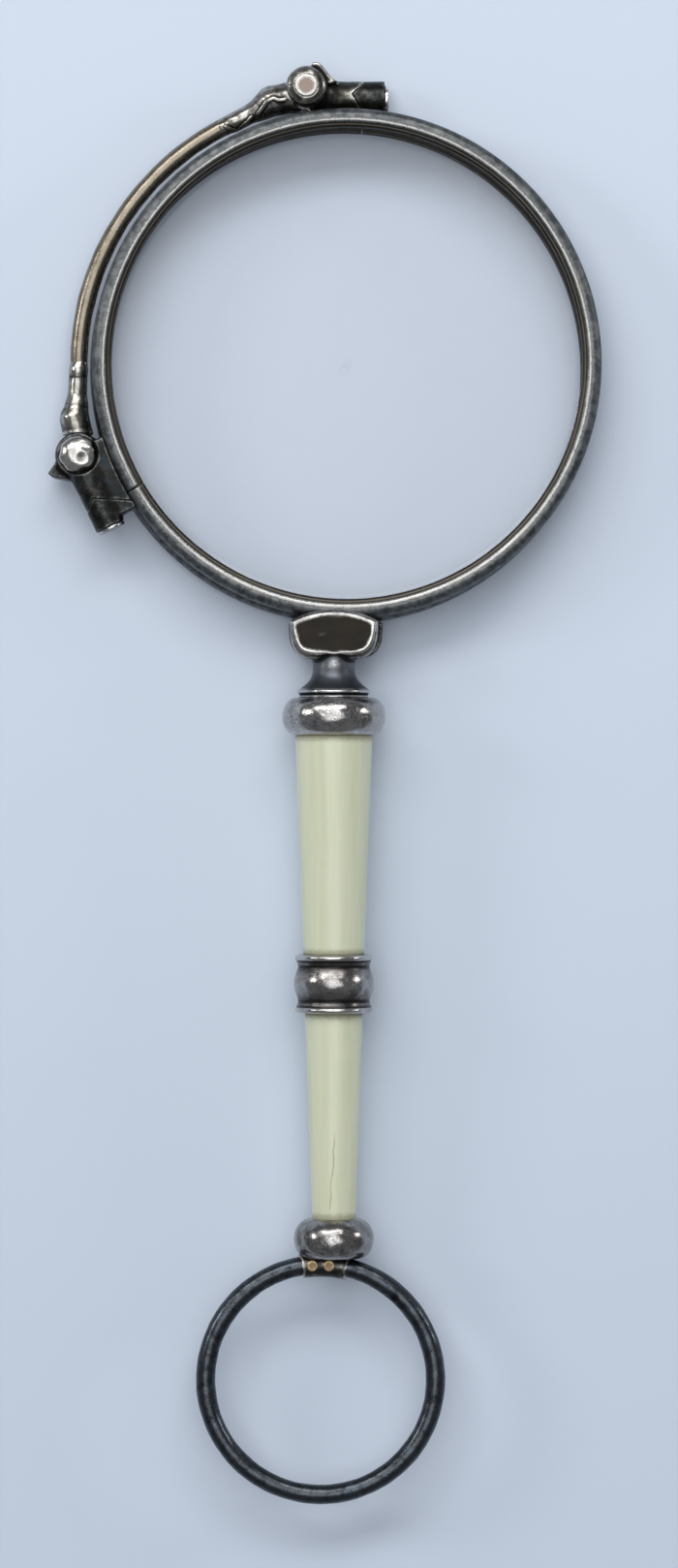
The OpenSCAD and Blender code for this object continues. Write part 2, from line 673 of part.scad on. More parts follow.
// A shield outline about the handle's axis, seen from the front
module shield(w, top, corner, foot) {
  rise = corner - top;
  arch_r = (w * w / 4 + rise * rise) / (2 * rise);
  half = asin(w / 2 / arch_r);
  left = shield_side(w, corner, foot, -1);
  right = shield_side(w, corner, foot, 1);
  polygon(concat(arc(0, -top - arch_r, arch_r, 90 - half, 90 + half, 12), left,
    [for (i = [len(right) - 2 : -1 : 0]) right[i]]));
}

// The rod's bore through the whole handle
bore = rod_r + rod_play;

module at_head() at_rims() translate([-handle_off, 0, 0]) children();
// Height on the handle's axis where the catch pin stands
catch_y = -(head_corner + head_foot) / 2;

module handle_head() color(dark_silver) difference() {
  union() {
    difference() {
      at_head() translate([0, 0, front_z0]) hull() {
        linear_extrude(head_z1 - bevel_h - front_z0) shield(head_w, head_top, head_corner,
          head_foot);
        linear_extrude(head_z1 - front_z0) shield(head_w - 2 * bevel_w, head_top + bevel_w,
          head_corner + bevel_w, head_foot - 1.4 * bevel_w);
      }
      at_rims() translate([0, 0, -over]) cylinder(r = rim_r, h = over + front_z1);
    }
    down_handle() rotate_extrude() polygon(concat([[0, head_foot - thin]],
      [for (p = [[0.02, -thin / neck_len], [0, 0.23], [0.06, 0.44], [0.19, 0.59], [0.41, 0.72],
          [0.78, 0.81], [0.97, 0.875], [1, 0.93], [1, 1]])
        [neck_r + (step_r - neck_r) * p[0], head_foot + neck_len * p[1]]],
      [[0, bead_s]]));
  }
  down_handle() translate([0, 0, rod_from - rod_end_play])
    cylinder(r = bore, h = rod_end_play + rod_in_neck + over);
  at_head() translate([0, catch_y, front_z0 - over])
    cylinder(r = catch_r + catch_play, h = over + catch_len + catch_travel + catch_spring_l);
}

module catch_pin() color(steel) at_head() translate([0, catch_y, front_z0]) {
  cylinder(r = catch_r, h = catch_len);
  mirror([0, 0, 1]) rotate_extrude() polygon(concat([[0, 0]],
    [for (a = [0 : 15 : 90]) [catch_r * cos(a), catch_out * sin(a)]]));
}

module catch_spring() color(steel) at_head()
  translate([0, catch_y, front_z0 + catch_len + catch_travel])
    tube(catch_r - catch_spring_play, catch_r - catch_spring_play - catch_spring_t,
      catch_spring_l);

// The free rim's lug, close behind the head
module rear_lug() color(dark_silver) difference() {
  at_head() translate([lug_right, 0, 0]) linear_extrude(rim_t)
    shield(lug_w, head_top, head_corner + lug_drop, head_foot - lug_short);
  at_rear_rim() translate([0, 0, -over]) cylinder(r = rim_r, h = rim_t + 2 * over);
  at_head() translate([0, catch_y, front_z0]) sphere(r = dimple_r);
}

// A bead's outline between two ends, from the rod's bore to its greatest radius
function bead_side(s, length, widest, r, end_r0, end_r1) = concat(
  [for (a = [-90 : 10 : 0]) [end_r0 + (r - end_r0) * cos(a), s + widest * (1 + sin(a))]],
  [for (a = [10 : 10 : 90]) [end_r1 + (r - end_r1) * cos(a),
    s + widest + (length - widest) * sin(a)]]);

module upper_bead() color(silver) down_handle() rotate_extrude() polygon(concat(
  [[bore, bead_s]],
  bead_side(bead_s, bead_len, bead_len / 2, bead_r, step_r + bead_lip, grip_top_r),
  [[bore, bead_s + bead_len]]));

module grip(s, length, top_r, foot_r) color(ivory) down_handle() rotate_extrude() polygon([
  [bore, s], [top_r, s], [foot_r, s + length], [bore, s + length]]);

module upper_grip() grip(upper_grip_s, upper_grip_len, grip_top_r, grip_mid_r);
module lower_grip() grip(lower_grip_s, lower_grip_len + dish_d, lower_grip_r, grip_foot_r);

// Collar with a rounded lip at each end and a soft bulge between two grooves
module middle_collar() {
  lip = 0.11 * collar_len;
  groove = 0.2 * collar_len;
  mid = collar_s + collar_len / 2;
  upper = concat(arc(lip_r - lip / 2, collar_s + lip / 2, lip / 2, -90, 60, 6),
    [for (i = [0 : 8]) [collar_groove_r + (bulge_r - collar_groove_r) * pow(sin(90 * i / 8), 1.3),
      collar_s + groove + (collar_len / 2 - groove) * i / 8]]);
  lower = [for (i = [len(upper) - 2 : -1 : 0]) [upper[i][0], 2 * mid - upper[i][1]]];
  color(silver) down_handle() rotate_extrude() polygon(concat(
    [[bore, collar_s]], upper, lower, [[bore, collar_s + collar_len]]));
}

module tang_rod() color(steel) down_handle() translate([0, 0, rod_from])
  cylinder(r = rod_r, h = rod_to - rod_from);

module lower_bead() color(silver) difference() {
  down_handle() rotate_extrude() polygon(concat([[0, foot_bead_s]],
    bead_side(foot_bead_s, foot_bead_len, 0.53 * foot_bead_len, foot_bead_r,
      grip_foot_r + bead_lip, foot_flat_r), [[0, foot_s]]));
  down_handle() translate([0, 0, foot_bead_s - over]) cylinder(r = grip_foot_r + dish_play,
    h = over + dish_d);
  down_handle() translate([0, 0, foot_bead_s - over]) cylinder(r = bore,
    h = over + rod_to + rod_end_play - foot_bead_s);
  at_ring() rotate_extrude() translate([ring_r, 0])
    circle(r = ring_wire_r + strap_play + strap_t + strap_play);
}

ring_rivet_a = [left_rivet_a, right_rivet_a];
module ring_rivet_bores(r) at_ring() for (a = ring_rivet_a) rotate(a)
  translate([ring_r, 0, -2 * ring_wire_r]) cylinder(r = r, h = 4 * ring_wire_r);

module finger_ring() color(dark_silver) difference() {
  at_ring() rotate_extrude() translate([ring_r, 0]) circle(r = ring_wire_r);
  ring_rivet_bores(ring_rivet_r + strap_play);
}

// Thin strap bent round the ring's wire under the lower bead
module ring_strap() color(dark_silver) difference() {
  at_ring() rotate(strap_from) rotate_extrude(angle = strap_span) translate([ring_r, 0])
    difference() {
      circle(r = ring_wire_r + strap_play + strap_t);
      circle(r = ring_wire_r + strap_play);
    }
  ring_rivet_bores(ring_rivet_r + strap_play);
}

module ring_rivets() color(brass) at_ring() for (a = ring_rivet_a) rotate(a)
  translate([ring_r, 0, -ring_wire_r - strap_t - ring_rivet_out])
    cylinder(r = ring_rivet_r, h = 2 * (ring_wire_r + strap_t + ring_rivet_out));

front_rim();
front_lens();
front_hinge_block();
front_closing_barrel();
front_closing_screw();
lower_hinge_rivet();
lower_hinge_spring();
handle_head();
catch_spring();
catch_pin();
upper_bead();
upper_grip();
middle_collar();
lower_grip();
tang_rod();
lower_bead();
finger_ring();
ring_strap();
ring_rivets();
bridge_bar();
upper_bridge_arm();
lower_bridge_arm();
rear_rim();
rear_lens();
rear_hinge_block();
rear_closing_barrel();
rear_closing_screw();
upper_hinge_rivet();
upper_hinge_spring();
rear_lug();
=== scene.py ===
"""Looks of a folding lorgnette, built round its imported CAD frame. Lengths are in mm until a mesh is made."""

import math

import bpy
import numpy as np
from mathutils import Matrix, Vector


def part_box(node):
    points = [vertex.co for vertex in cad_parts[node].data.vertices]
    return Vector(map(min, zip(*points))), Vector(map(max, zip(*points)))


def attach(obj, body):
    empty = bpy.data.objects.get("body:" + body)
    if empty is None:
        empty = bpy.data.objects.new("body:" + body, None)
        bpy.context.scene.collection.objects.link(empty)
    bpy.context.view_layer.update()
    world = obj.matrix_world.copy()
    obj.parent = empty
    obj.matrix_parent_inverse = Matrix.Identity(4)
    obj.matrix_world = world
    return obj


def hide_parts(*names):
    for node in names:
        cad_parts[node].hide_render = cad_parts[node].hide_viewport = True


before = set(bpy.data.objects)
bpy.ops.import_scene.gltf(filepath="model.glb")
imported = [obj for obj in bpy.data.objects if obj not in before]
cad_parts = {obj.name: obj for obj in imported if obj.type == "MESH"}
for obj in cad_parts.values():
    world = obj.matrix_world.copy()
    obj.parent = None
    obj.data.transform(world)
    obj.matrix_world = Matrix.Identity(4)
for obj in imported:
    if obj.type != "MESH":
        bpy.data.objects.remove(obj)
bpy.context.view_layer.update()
MM = 0.001

# Sizes repeated from the CAD source: X, Y, Z are places, R radii, S and END distances down from the rims' centre
RIM_X, RIM_Y = 1.75731, 33.7734
RIM_R, RIM_W, RIM_T = 20.55, 1.6, 2.5
REAR_SHIFT, REAR_DROP = 0.25, 0.3
REAR_Z, FRONT_Z0, FRONT_Z, FRONT_Z1, MID_Z, HEAD_Z1 = 1.25, 2.65, 3.9, 5.15, 2.575, 5.95
AXIS_X, AXIS_Z = RIM_X - 1.04, 4.17
UPPER_PIN = (RIM_X - 3.26245, RIM_Y + 22.3633)
LOWER_PIN = (RIM_X - 21.6438, RIM_Y - 7.32601)
UPPER_KNUCKLE, LOWER_KNUCKLE = 1.47, 1.85
LOWER_TURN = -64.5
LEAF_BACK, LEAF_FRONT, SLOT_Z, SLOT_H = 1.015, 4.135, 1.915, 1.32
BARREL_R, BARREL_LEN, SCREW_HEAD_R, SCREW_HEAD_T, WEB_T = 1.18, 6.65, 1.12, 0.32, 1.7
UPPER_IN, LOWER_IN = 0.74, -0.1
JOINT_X, JOINT_V, JOINT_UP, JOINT_PLAY, SAW_LEAN, SAW_W = 4.55, 0.8, 0.35, 0.06, 30, 0.12
BRIDGE_R, BRIDGE_D, BRIDGE_FROM, BRIDGE_TO = 21.655, 1.45, 118, 180
HEAD_TOP, HEAD_CORNER, HEAD_FOOT, HEAD_W = 19.8, 20.7, 23.87, 7.1
NECK_R, STEP_R, BEAD_S, BEAD_LEN, BEAD_R = 1.7, 2.98, 26.9, 3.05, 4.17
GRIP_S, GRIP_END, GRIP_TOP_R, GRIP_MID_R = 29.95, 47.58, 3.11, 2.44
COLLAR_END, LIP_R, COLLAR_GROOVE_R, BULGE_R = 52.26, 3.14, 2.88, 3.24
LOWER_GRIP_END, LOWER_GRIP_R, GRIP_FOOT_R = 68.8, 2.34, 1.74
FOOT_END, FOOT_LEN, FOOT_BEAD_R, DISH_D = 72.0, 3.2, 3.23, 0.35
RING_X, RING_S, RING_R, RING_WIRE = AXIS_X - 1.07, 81.8, 9.26, 0.79
BORE = 0.82
RIVET_R, RIVET_TAIL_R = 0.5, 0.85

# Sizes set for the picture; most differ a little from the CAD source
REAR_W = 1.35
UPPER_BALL = UPPER_KNUCKLE + 0.17
UPPER_HEAD_R, LOWER_HEAD_R = 0.92, 1.62
UPPER_SEAT, LOWER_SEAT = UPPER_HEAD_R + 0.04, LOWER_HEAD_R + 0.05
UPPER_CROWN, LOWER_CROWN = 0.7, 0.25
UPPER_SWELL, LOWER_SWELL = 0.26, 0.1
UPPER_WEB_X, LOWER_WEB_X = 0.2, -0.5
UPPER_SHOULDER_R, LOWER_SHOULDER_R = 1.36, 1.3
UPPER_SHOULDER_IN, LOWER_SHOULDER_IN = 0.72, 0.62
UPPER_ARM_GAP, LOWER_ARM_GAP = 0.13, 0.16


# --- forms, as distances to their surface

def reach(*parts):
    return np.sqrt(sum(part * part for part in parts))


def blend(a, b, soft):
    """Both forms in one, with a fillet of about that size where they meet."""
    share = np.clip(0.5 + 0.5 * (b - a) / soft, 0, 1)
    return b * (1 - share) + a * share - soft * share * (1 - share)


def carve(a, b, soft=0.04):
    """Form a with form b cut away."""
    return -blend(-a, b, soft)


def common(a, b, soft=0.04):
    """What both forms share."""
    return -blend(-a, -b, soft)


def rod(p, a, b, ra, rb):
    """A tapering rod with round ends."""
    ax = [b[i] - a[i] for i in range(3)]
    d = [p[i] - a[i] for i in range(3)]
    t = np.clip(sum(d[i] * ax[i] for i in range(3)) / sum(v * v for v in ax), 0, 1)
    return reach(*[d[i] - ax[i] * t for i in range(3)]) - (ra + (rb - ra) * t)


def between(value, low, high):
    """Below zero from low to high."""
    return np.maximum(low - value, value - high)


def puck(p, x, y, r, low, high, edge):
    """An upright disc with rounded edges."""
    across = reach(p[0] - x, p[1] - y) - (r - edge)
    up = between(p[2], low + edge, high - edge)
    return np.minimum(np.maximum(across, up), 0) + reach(np.maximum(across, 0), np.maximum(up, 0)) - edge


def slab(p, lows, highs, edge):
    """A block with rounded edges."""
    gaps = [between(p[i], lows[i] + edge, highs[i] - edge) for i in range(3)]
    out = reach(*[np.maximum(g, 0) for g in gaps])
    return out + np.minimum(np.maximum(np.maximum(gaps[0], gaps[1]), gaps[2]), 0) - edge


def outline(u, v, points):
    """Distance to a flat outline, below zero inside it."""
    best = np.full(u.shape, 1e9)
    flips = np.zeros(u.shape, bool)
    for (ax, ay), (bx, by) in zip(points, points[1:] + points[:1]):
        ex, ey = bx - ax, by - ay
        t = np.clip(((u - ax) * ex + (v - ay) * ey) / (ex * ex + ey * ey), 0, 1)
        best = np.minimum(best, (u - ax - ex * t) ** 2 + (v - ay - ey * t) ** 2)
        if ey:
            flips ^= ((ay > v) != (by > v)) & (u < ex * (v - ay) / ey + ax)
    return np.where(flips, -1, 1) * np.sqrt(best)


def waves(p, size, seed):
    """Soft unevenness between about -1 and 1, for cast and hammered metal."""
    rng = np.random.default_rng(seed)
    total = 0
    for _ in range(7):
        way = rng.normal(size=3)
        way *= 2 * math.pi / (size * np.linalg.norm(way)) * rng.uniform(0.6, 1.5)
        total = total + np.sin(p[0] * way[0] + p[1] * way[1] + p[2] * way[2] + rng.uniform(0, 6.3))
    return total / 3.5


def skin(field, lows, highs, cell):
    """Mesh of the surface where the field is zero: vertices and four-sided faces."""
    axes = [np.arange(lows[i], highs[i] + cell, cell) for i in range(3)]
    grid = np.meshgrid(*axes, indexing="ij")
    d = field(grid)
    corners = [(i, j, k) for i in (0, 1) for j in (0, 1) for k in (0, 1)]
    size = [n - 1 for n in d.shape]

    def at(c):
        return d[c[0]:c[0] + size[0], c[1]:c[1] + size[1], c[2]:c[2] + size[2]]

    low = np.minimum.reduce([at(c) for c in corners])
    high = np.maximum.reduce([at(c) for c in corners])
    cells = np.argwhere((low < 0) & (high >= 0))
    total, count = np.zeros((len(cells), 3)), np.zeros(len(cells))
    for a in corners:
        for axis in range(3):
            if a[axis]:
                continue
            b = list(a)
            b[axis] = 1
            da = d[tuple((cells + a).T)]
            db = d[tuple((cells + b).T)]
            cross = (da < 0) != (db < 0)
            t = np.where(cross, da / np.where(cross, da - db, 1), 0)
            point = np.tile(np.array(a, float), (len(cells), 1))
            point[:, axis] = t
            total += point * cross[:, None]
            count += cross
    points = np.array(lows) + (cells + total / count[:, None]) * cell
    number = np.full(size, -1)
    number[tuple(cells.T)] = np.arange(len(cells))
    faces = []
    for axis in range(3):
        o1, o2 = [i for i in range(3) if i != axis]
        a = [slice(None)] * 3
        b = [slice(None)] * 3
        a[axis], b[axis] = slice(0, -1), slice(1, None)
        da, db = d[tuple(a)], d[tuple(b)]
        spots = np.argwhere((da < 0) != (db < 0))
        spots = spots[(spots[:, o1] > 0) & (spots[:, o2] > 0)]
        spots = spots[(spots[:, o1] < size[o1]) & (spots[:, o2] < size[o2])]
        out = da[tuple(spots.T)] < 0
        ring = []
        for s1, s2 in ((-1, -1), (0, -1), (0, 0), (-1, 0)):
            c = spots.copy()
            c[:, o1] += s1
            c[:, o2] += s2
            ring.append(number[tuple(c.T)])
        quad = np.stack(ring, 1)
        turn = out if axis != 1 else ~out
        quad[~turn] = quad[~turn][:, ::-1]
        faces.append(quad)
    faces = np.concatenate(faces)
    nudge = 0.01
    for _ in range(2):
        here = field(list(points.T))
        slope = np.stack([(field([points[:, i] + (nudge if i == j else 0) for i in range(3)]) - here) / nudge
                          for j in range(3)], 1)
        step = here[:, None] * slope / np.maximum((slope ** 2).sum(1), 0.3)[:, None]
        points = points - np.clip(step, -cell / 3, cell / 3)
    return points, faces


# --- meshes

def neighbours_mean(points, faces, rounds):
    """The points after so many rounds of easing each one towards its neighbours."""
    pairs = np.concatenate([faces[:, [i, (i + 1) % faces.shape[1]]] for i in range(faces.shape[1])])
    pairs = pairs[pairs[:, 0] != pairs[:, 1]]
    count = np.maximum(np.bincount(pairs[:, 0], minlength=len(points))
                       + np.bincount(pairs[:, 1], minlength=len(points)), 1)
    eased = points
    for _ in range(rounds):
        total = np.stack([np.bincount(pairs[:, 0], eased[pairs[:, 1], i], len(points))
                          + np.bincount(pairs[:, 1], eased[pairs[:, 0], i], len(points)) for i in range(3)], 1)
        eased = (eased + total / count[:, None]) / 2
    return eased


def add_object(name, data):
    obj = bpy.data.objects.new(name, data)
    bpy.context.scene.collection.objects.link(obj)
    return obj


def piece(name, points, faces, body, material, stands_for, rounds=10, wear_depth=0.02, caps=()):
    """A finished piece: its mesh, its worn edges and hollows, its material and the node it stands for."""
    a, b, c = (points[faces[:, i]] for i in (0, 1, 2))
    middle = points.mean(0)
    caps = [list(map(int, cap)) for cap in caps]
    if ((a + c - 2 * middle) * np.cross(b - a, c - a)).sum() < 0:
        faces, caps = faces[:, ::-1], [cap[::-1] for cap in caps]
    mesh = bpy.data.meshes.new(name)
    mesh.from_pydata((points * MM).tolist(), [], faces.tolist() + caps)
    mesh.update()
    mesh.validate()
    normals = np.zeros(len(mesh.vertices) * 3)
    mesh.vertices.foreach_get("normal", normals)
    proud = ((points - neighbours_mean(points, faces, rounds)) * normals.reshape(-1, 3)).sum(1)
    worn = mesh.attributes.new("worn", "FLOAT", "POINT")
    worn.data.foreach_set("value", np.clip(proud / wear_depth, -1, 1).astype(np.float32))
    mesh.polygons.foreach_set("use_smooth", [True] * len(mesh.polygons))
    obj = add_object(name, mesh)
    mesh.materials.append(material)
    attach(obj, body)
    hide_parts(*stands_for)
    return obj


def hoop(section, centre, steps, start=0, sweep=360):
    """A closed section (distance from centre, height) carried round an upright axis, or part of the way."""
    whole = sweep == 360
    count = steps if whole else steps + 1
    angles = np.radians(start + sweep * np.arange(count) / steps)
    points = []
    for a in angles:
        s = section(a) if callable(section) else section
        points.append(np.stack([centre[0] + s[:, 0] * np.cos(a), centre[1] + s[:, 0] * np.sin(a), s[:, 1]], 1))
    wide = len(points[0])
    points = np.concatenate(points)
    faces = []
    for i in range(steps):
        j = (i + 1) % count
        k = np.arange(wide)
        n = (k + 1) % wide
        faces.append(np.stack([i * wide + k, j * wide + k, j * wide + n, i * wide + n], 1))
    return points, np.concatenate(faces)


def end_caps(points, wide):
    """The two flat ends of a hoop that isn't closed."""
    return [range(wide), range(len(points) - 1, len(points) - wide - 1, -1)]


def smooth_line(points, spacing, closed=False):
    """Points spaced evenly along a polyline."""
    points = np.asarray(points, float)
    if closed:
        points = np.concatenate([points, points[:1]])
    gaps = np.linalg.norm(np.diff(points, axis=0), axis=1)
    along = np.concatenate([[0], np.cumsum(gaps)])
    count = max(3, int(round(along[-1] / spacing)) + 1)
    at = np.linspace(0, along[-1], count)
    line = np.stack([np.interp(at, along, points[:, i]) for i in range(points.shape[1])], 1)
    return line[:-1] if closed else line


def turned(profile, steps=160, uneven=0.0, seed=1):
    """A turned piece on the handle's axis from (distance down, radius) points, open at both ends."""
    line = smooth_line(profile, 0.1)
    angles = 2 * math.pi * np.arange(steps) / steps
    s, r = line[:, 0], line[:, 1]
    x = r[:, None] * np.cos(angles)[None]
    z = r[:, None] * np.sin(angles)[None]
    y = np.repeat(-s[:, None], steps, 1)
    if uneven:
        k = 1 + uneven * waves([x, y, z], 2.2, seed)
        x, z = x * k, z * k
    points = np.stack([AXIS_X + x, RIM_Y + y, AXIS_Z + z], 2).reshape(-1, 3)
    i, k = np.meshgrid(np.arange(len(s) - 1), np.arange(steps), indexing="ij")
    n = (k + 1) % steps
    faces = np.stack([i * steps + k, (i + 1) * steps + k, (i + 1) * steps + n, i * steps + n], 2)
    return points, faces.reshape(-1, 4)


def arc(x, y, r, start, end, steps=10):
    return [(x + r * math.cos(a), y + r * math.sin(a)) for a in np.radians(np.linspace(start, end, steps + 1))]


# --- materials

class Shade:
    """A socket of a material's nodes; sums on it add the nodes that work them out."""

    def __init__(self, tree, socket):
        self.tree, self.socket = tree, socket

    @staticmethod
    def node(tree, kind, settings=None, values=None, out=0):
        """Adds any node; its settings come first, then the values or links of its sockets."""
        n = tree.nodes.new(kind)
        for key, value in (settings or {}).items():
            if key == "stops":
                ramp = n.color_ramp
                while len(ramp.elements) < len(value):
                    ramp.elements.new(0.5)
                for element, (place, colour) in zip(ramp.elements, value):
                    element.position = place
                    element.color = (*colour, 1) if hasattr(colour, "__len__") else (colour,) * 3 + (1,)
            else:
                setattr(n, key, value)
        for key, value in (values or {}).items():
            socket = n.inputs[key] if isinstance(key, int) else next(
                i for i in n.inputs if key in (i.identifier, i.name))
            if isinstance(value, Shade):
                tree.links.new(value.socket, socket)
            else:
                socket.default_value = (*value, 1) if hasattr(value, "__len__") and len(
                    socket.default_value) == 4 and len(value) == 3 else value
        return Shade(tree, n.outputs[out])

    def sum(self, kind, other, swap=False):
        a, b = (other, self) if swap else (self, other)
        return Shade.node(self.tree, "ShaderNodeMath", {"operation": kind}, {0: a, 1: b})

    def __add__(self, o): return self.sum("ADD", o)
    def __radd__(self, o): return self.sum("ADD", o, True)
    def __sub__(self, o): return self.sum("SUBTRACT", o)
    def __rsub__(self, o): return self.sum("SUBTRACT", o, True)
    def __mul__(self, o): return self.sum("MULTIPLY", o)
    def __rmul__(self, o): return self.sum("MULTIPLY", o, True)
    def __truediv__(self, o): return self.sum("DIVIDE", o)
    def __rtruediv__(self, o): return self.sum("DIVIDE", o, True)
    def __pow__(self, o): return self.sum("POWER", o)

    def least(self, o): return self.sum("MINIMUM", o)
    def most(self, o): return self.sum("MAXIMUM", o)

    def absolute(self):
        return Shade.node(self.tree, "ShaderNodeMath", {"operation": "ABSOLUTE"}, {0: self})

    def between(self, low, high, start=0.0, end=1.0):
        """start below low, end above high, and a soft rise between them."""
        return Shade.node(self.tree, "ShaderNodeMapRange", {"interpolation_type": "SMOOTHSTEP"}, {
            "Value": self, "From Min": low, "From Max": high, "To Min": start, "To Max": end})

    def tint(self, a, b):
        """Colour a where this is 0, colour b where it is 1."""
        return Shade.node(self.tree, "ShaderNodeMix", {"data_type": "RGBA"}, {
            "Factor_Float": self, "A_Color": a, "B_Color": b}, 2)


def start_material(name):
    material = bpy.data.materials.new(name)
    material.use_nodes = True
    tree = material.node_tree
    tree.nodes.clear()
    place = Shade.node(tree, "ShaderNodeTexCoord", out=3)
    return material, tree, place


def noise(tree, place, scale, detail=4, roughness=0.55, stretch=None, distortion=0.0):
    """Noise with features of about 1/scale mm."""
    scaled = Shade.node(tree, "ShaderNodeVectorMath", {"operation": "MULTIPLY"}, {
        0: place, 1: stretch or (1000, 1000, 1000)})
    return Shade.node(tree, "ShaderNodeTexNoise", {}, {
        "Vector": scaled, "Scale": scale, "Detail": detail, "Roughness": roughness, "Distortion": distortion})


def finish_material(material, tree, height=None, strength=0.2, depth=0.00005, **values):
    shader = tree.nodes.new("ShaderNodeBsdfPrincipled")
    for key, value in values.items():
        socket = shader.inputs[key.replace("_", " ")]
        if isinstance(value, Shade):
            tree.links.new(value.socket, socket)
        else:
            socket.default_value = (*value, 1) if hasattr(value, "__len__") and len(value) == 3 else value
    if height is not None:
        bump = Shade.node(tree, "ShaderNodeBump", {}, {
            "Strength": strength, "Distance": depth, "Height": height})
        tree.links.new(bump.socket, shader.inputs["Normal"])
    out = tree.nodes.new("ShaderNodeOutputMaterial")
    tree.links.new(shader.outputs[0], out.inputs["Surface"])
    return material


def split(tree, place):
    """A place's x, y and z."""
    axes = Shade.node(tree, "ShaderNodeSeparateXYZ", {}, {0: place})
    return [Shade(tree, socket) for socket in axes.socket.node.outputs]


def around(tree, place, centre):
    """Places unrolled along a hoop: how far round, how far out and how high, in metres; and the reach in mm."""
    x, y, z = split(tree, place)
    x, y = x - centre[0] * MM, y - centre[1] * MM
    out = Shade.node(tree, "ShaderNodeMath", {"operation": "SQRT"}, {0: x * x + y * y})
    turn = Shade.node(tree, "ShaderNodeMath", {"operation": "ARCTAN2"}, {0: y, 1: x})
    return Shade.node(tree, "ShaderNodeCombineXYZ", {}, {0: turn * RIM_R * MM, 1: out, 2: z}), out * 1000


def silver(name, bright, dull, hollow, shine, matt, wear, tone=(0.33, 0.27, 0.2), tone_share=0.3, blue=0.0,
           mottle=1.0, rubbed_all=0.42, centre=None, wall=None, crest=None, lower=None):
    """Old silver: bright where it is rubbed, tarnished on the flats and dark in the hollows.

    shine and matt are the roughness where it is rubbed and where it isn't. centre makes the tarnish run in
    streaks round that place, wall is where the inner wall's colour fades, and crest is the bright line's reach.
    lower is a height and the dull and bright colours below it.
    """
    material, tree, place = start_material(name)
    if centre:
        place, out = around(tree, place, centre)
    worn = Shade.node(tree, "ShaderNodeAttribute", {"attribute_name": "worn"}, out=2)
    cloud = noise(tree, place, 0.45, 5, 0.6)
    patch = noise(tree, place, 1.7, 6, 0.62)
    speck = noise(tree, place, 7.0, 4, 0.6)
    scratch = noise(tree, place, 3.0, 3, 0.7, (240, 2600, 2600))
    scratch_across = noise(tree, place, 3.0, 3, 0.7, (2600, 300, 2600))
    lines = scratch.between(0.62, 0.7).most(scratch_across.between(0.63, 0.71))
    if centre:
        streaks = noise(tree, place, 1.0, 5, 0.62, (140, 3400, 3400))
        lines = streaks.between(0.56, 0.66)
    uneven = ((cloud - 0.5) * 0.9 + (patch - 0.5) * 1.5) * mottle
    grainy = (speck - 0.5) * 1.2 * worn.between(0.05, 0.4)
    rubbed = (worn * wear + uneven + grainy + rubbed_all).between(0.15, 0.95)
    dark = (worn * -1.6 + uneven * 0.7).between(0.05, 0.75)
    pits = speck.between(0.60, 0.72) * mottle
    if centre:
        rubbed = (rubbed + (streaks - 0.5) * 1.0).between(0.0, 1.0)
    if wall:
        inside = out.between(wall[0], wall[1], 1.0, 0.0)
        near = (out - crest + (patch - 0.5) * 0.2).absolute()
        near = near.between(0.02, 0.3, 1.0, 0.0) * speck.between(0.3, 0.62)
        outer = out.between(crest + 0.12, crest + 0.34)
        rubbed = (rubbed * (1 - outer * 0.75) + near * 0.6).least(1.0) * (1 - inside * 0.8)
    face = rubbed.tint(dull, bright)
    warm = (cloud.between(0.42, 0.66) * tone_share).tint(face, tone)
    if blue:
        warm = (noise(tree, place, 0.8, 3).between(0.5, 0.7) * blue).tint(warm, (0.07, 0.095, 0.12))
    if wall:
        slate = patch.between(0.4, 0.62).tint((0.065, 0.073, 0.078), (0.17, 0.182, 0.188))
        warm = (outer * (0.85 - rubbed * 0.5)).tint(warm, slate)
        warm = (inside * 0.85).tint(warm, wall[2])
    if lower:
        x, y, z = split(tree, place)
        beneath = (y * 1000).between(lower[0], lower[0] + 0.3, 1.0, 0.0)
        warm = beneath.tint(warm, rubbed.tint(lower[1], lower[2]))
    deep = (dark * 0.85).tint(warm, hollow)
    scored = (lines * 0.25 * rubbed).tint(deep, bright)
    colour = (pits * 0.45 * (1 - rubbed * 0.6)).tint(scored, hollow)
    rough = (rubbed * (shine - matt) + matt + (patch - 0.5) * 0.12 + dark * 0.12 + pits * 0.08)
    if wall:
        rough = rough + outer * 0.1
    height = speck * 0.5 + patch * 1.2 + scratch * 0.3 + scratch_across * 0.3 - lines * 0.4
    return finish_material(material, tree, height, 0.22, 0.00006, Base_Color=colour,
                           Metallic=1.0, Roughness=rough.most(0.08).least(0.8))


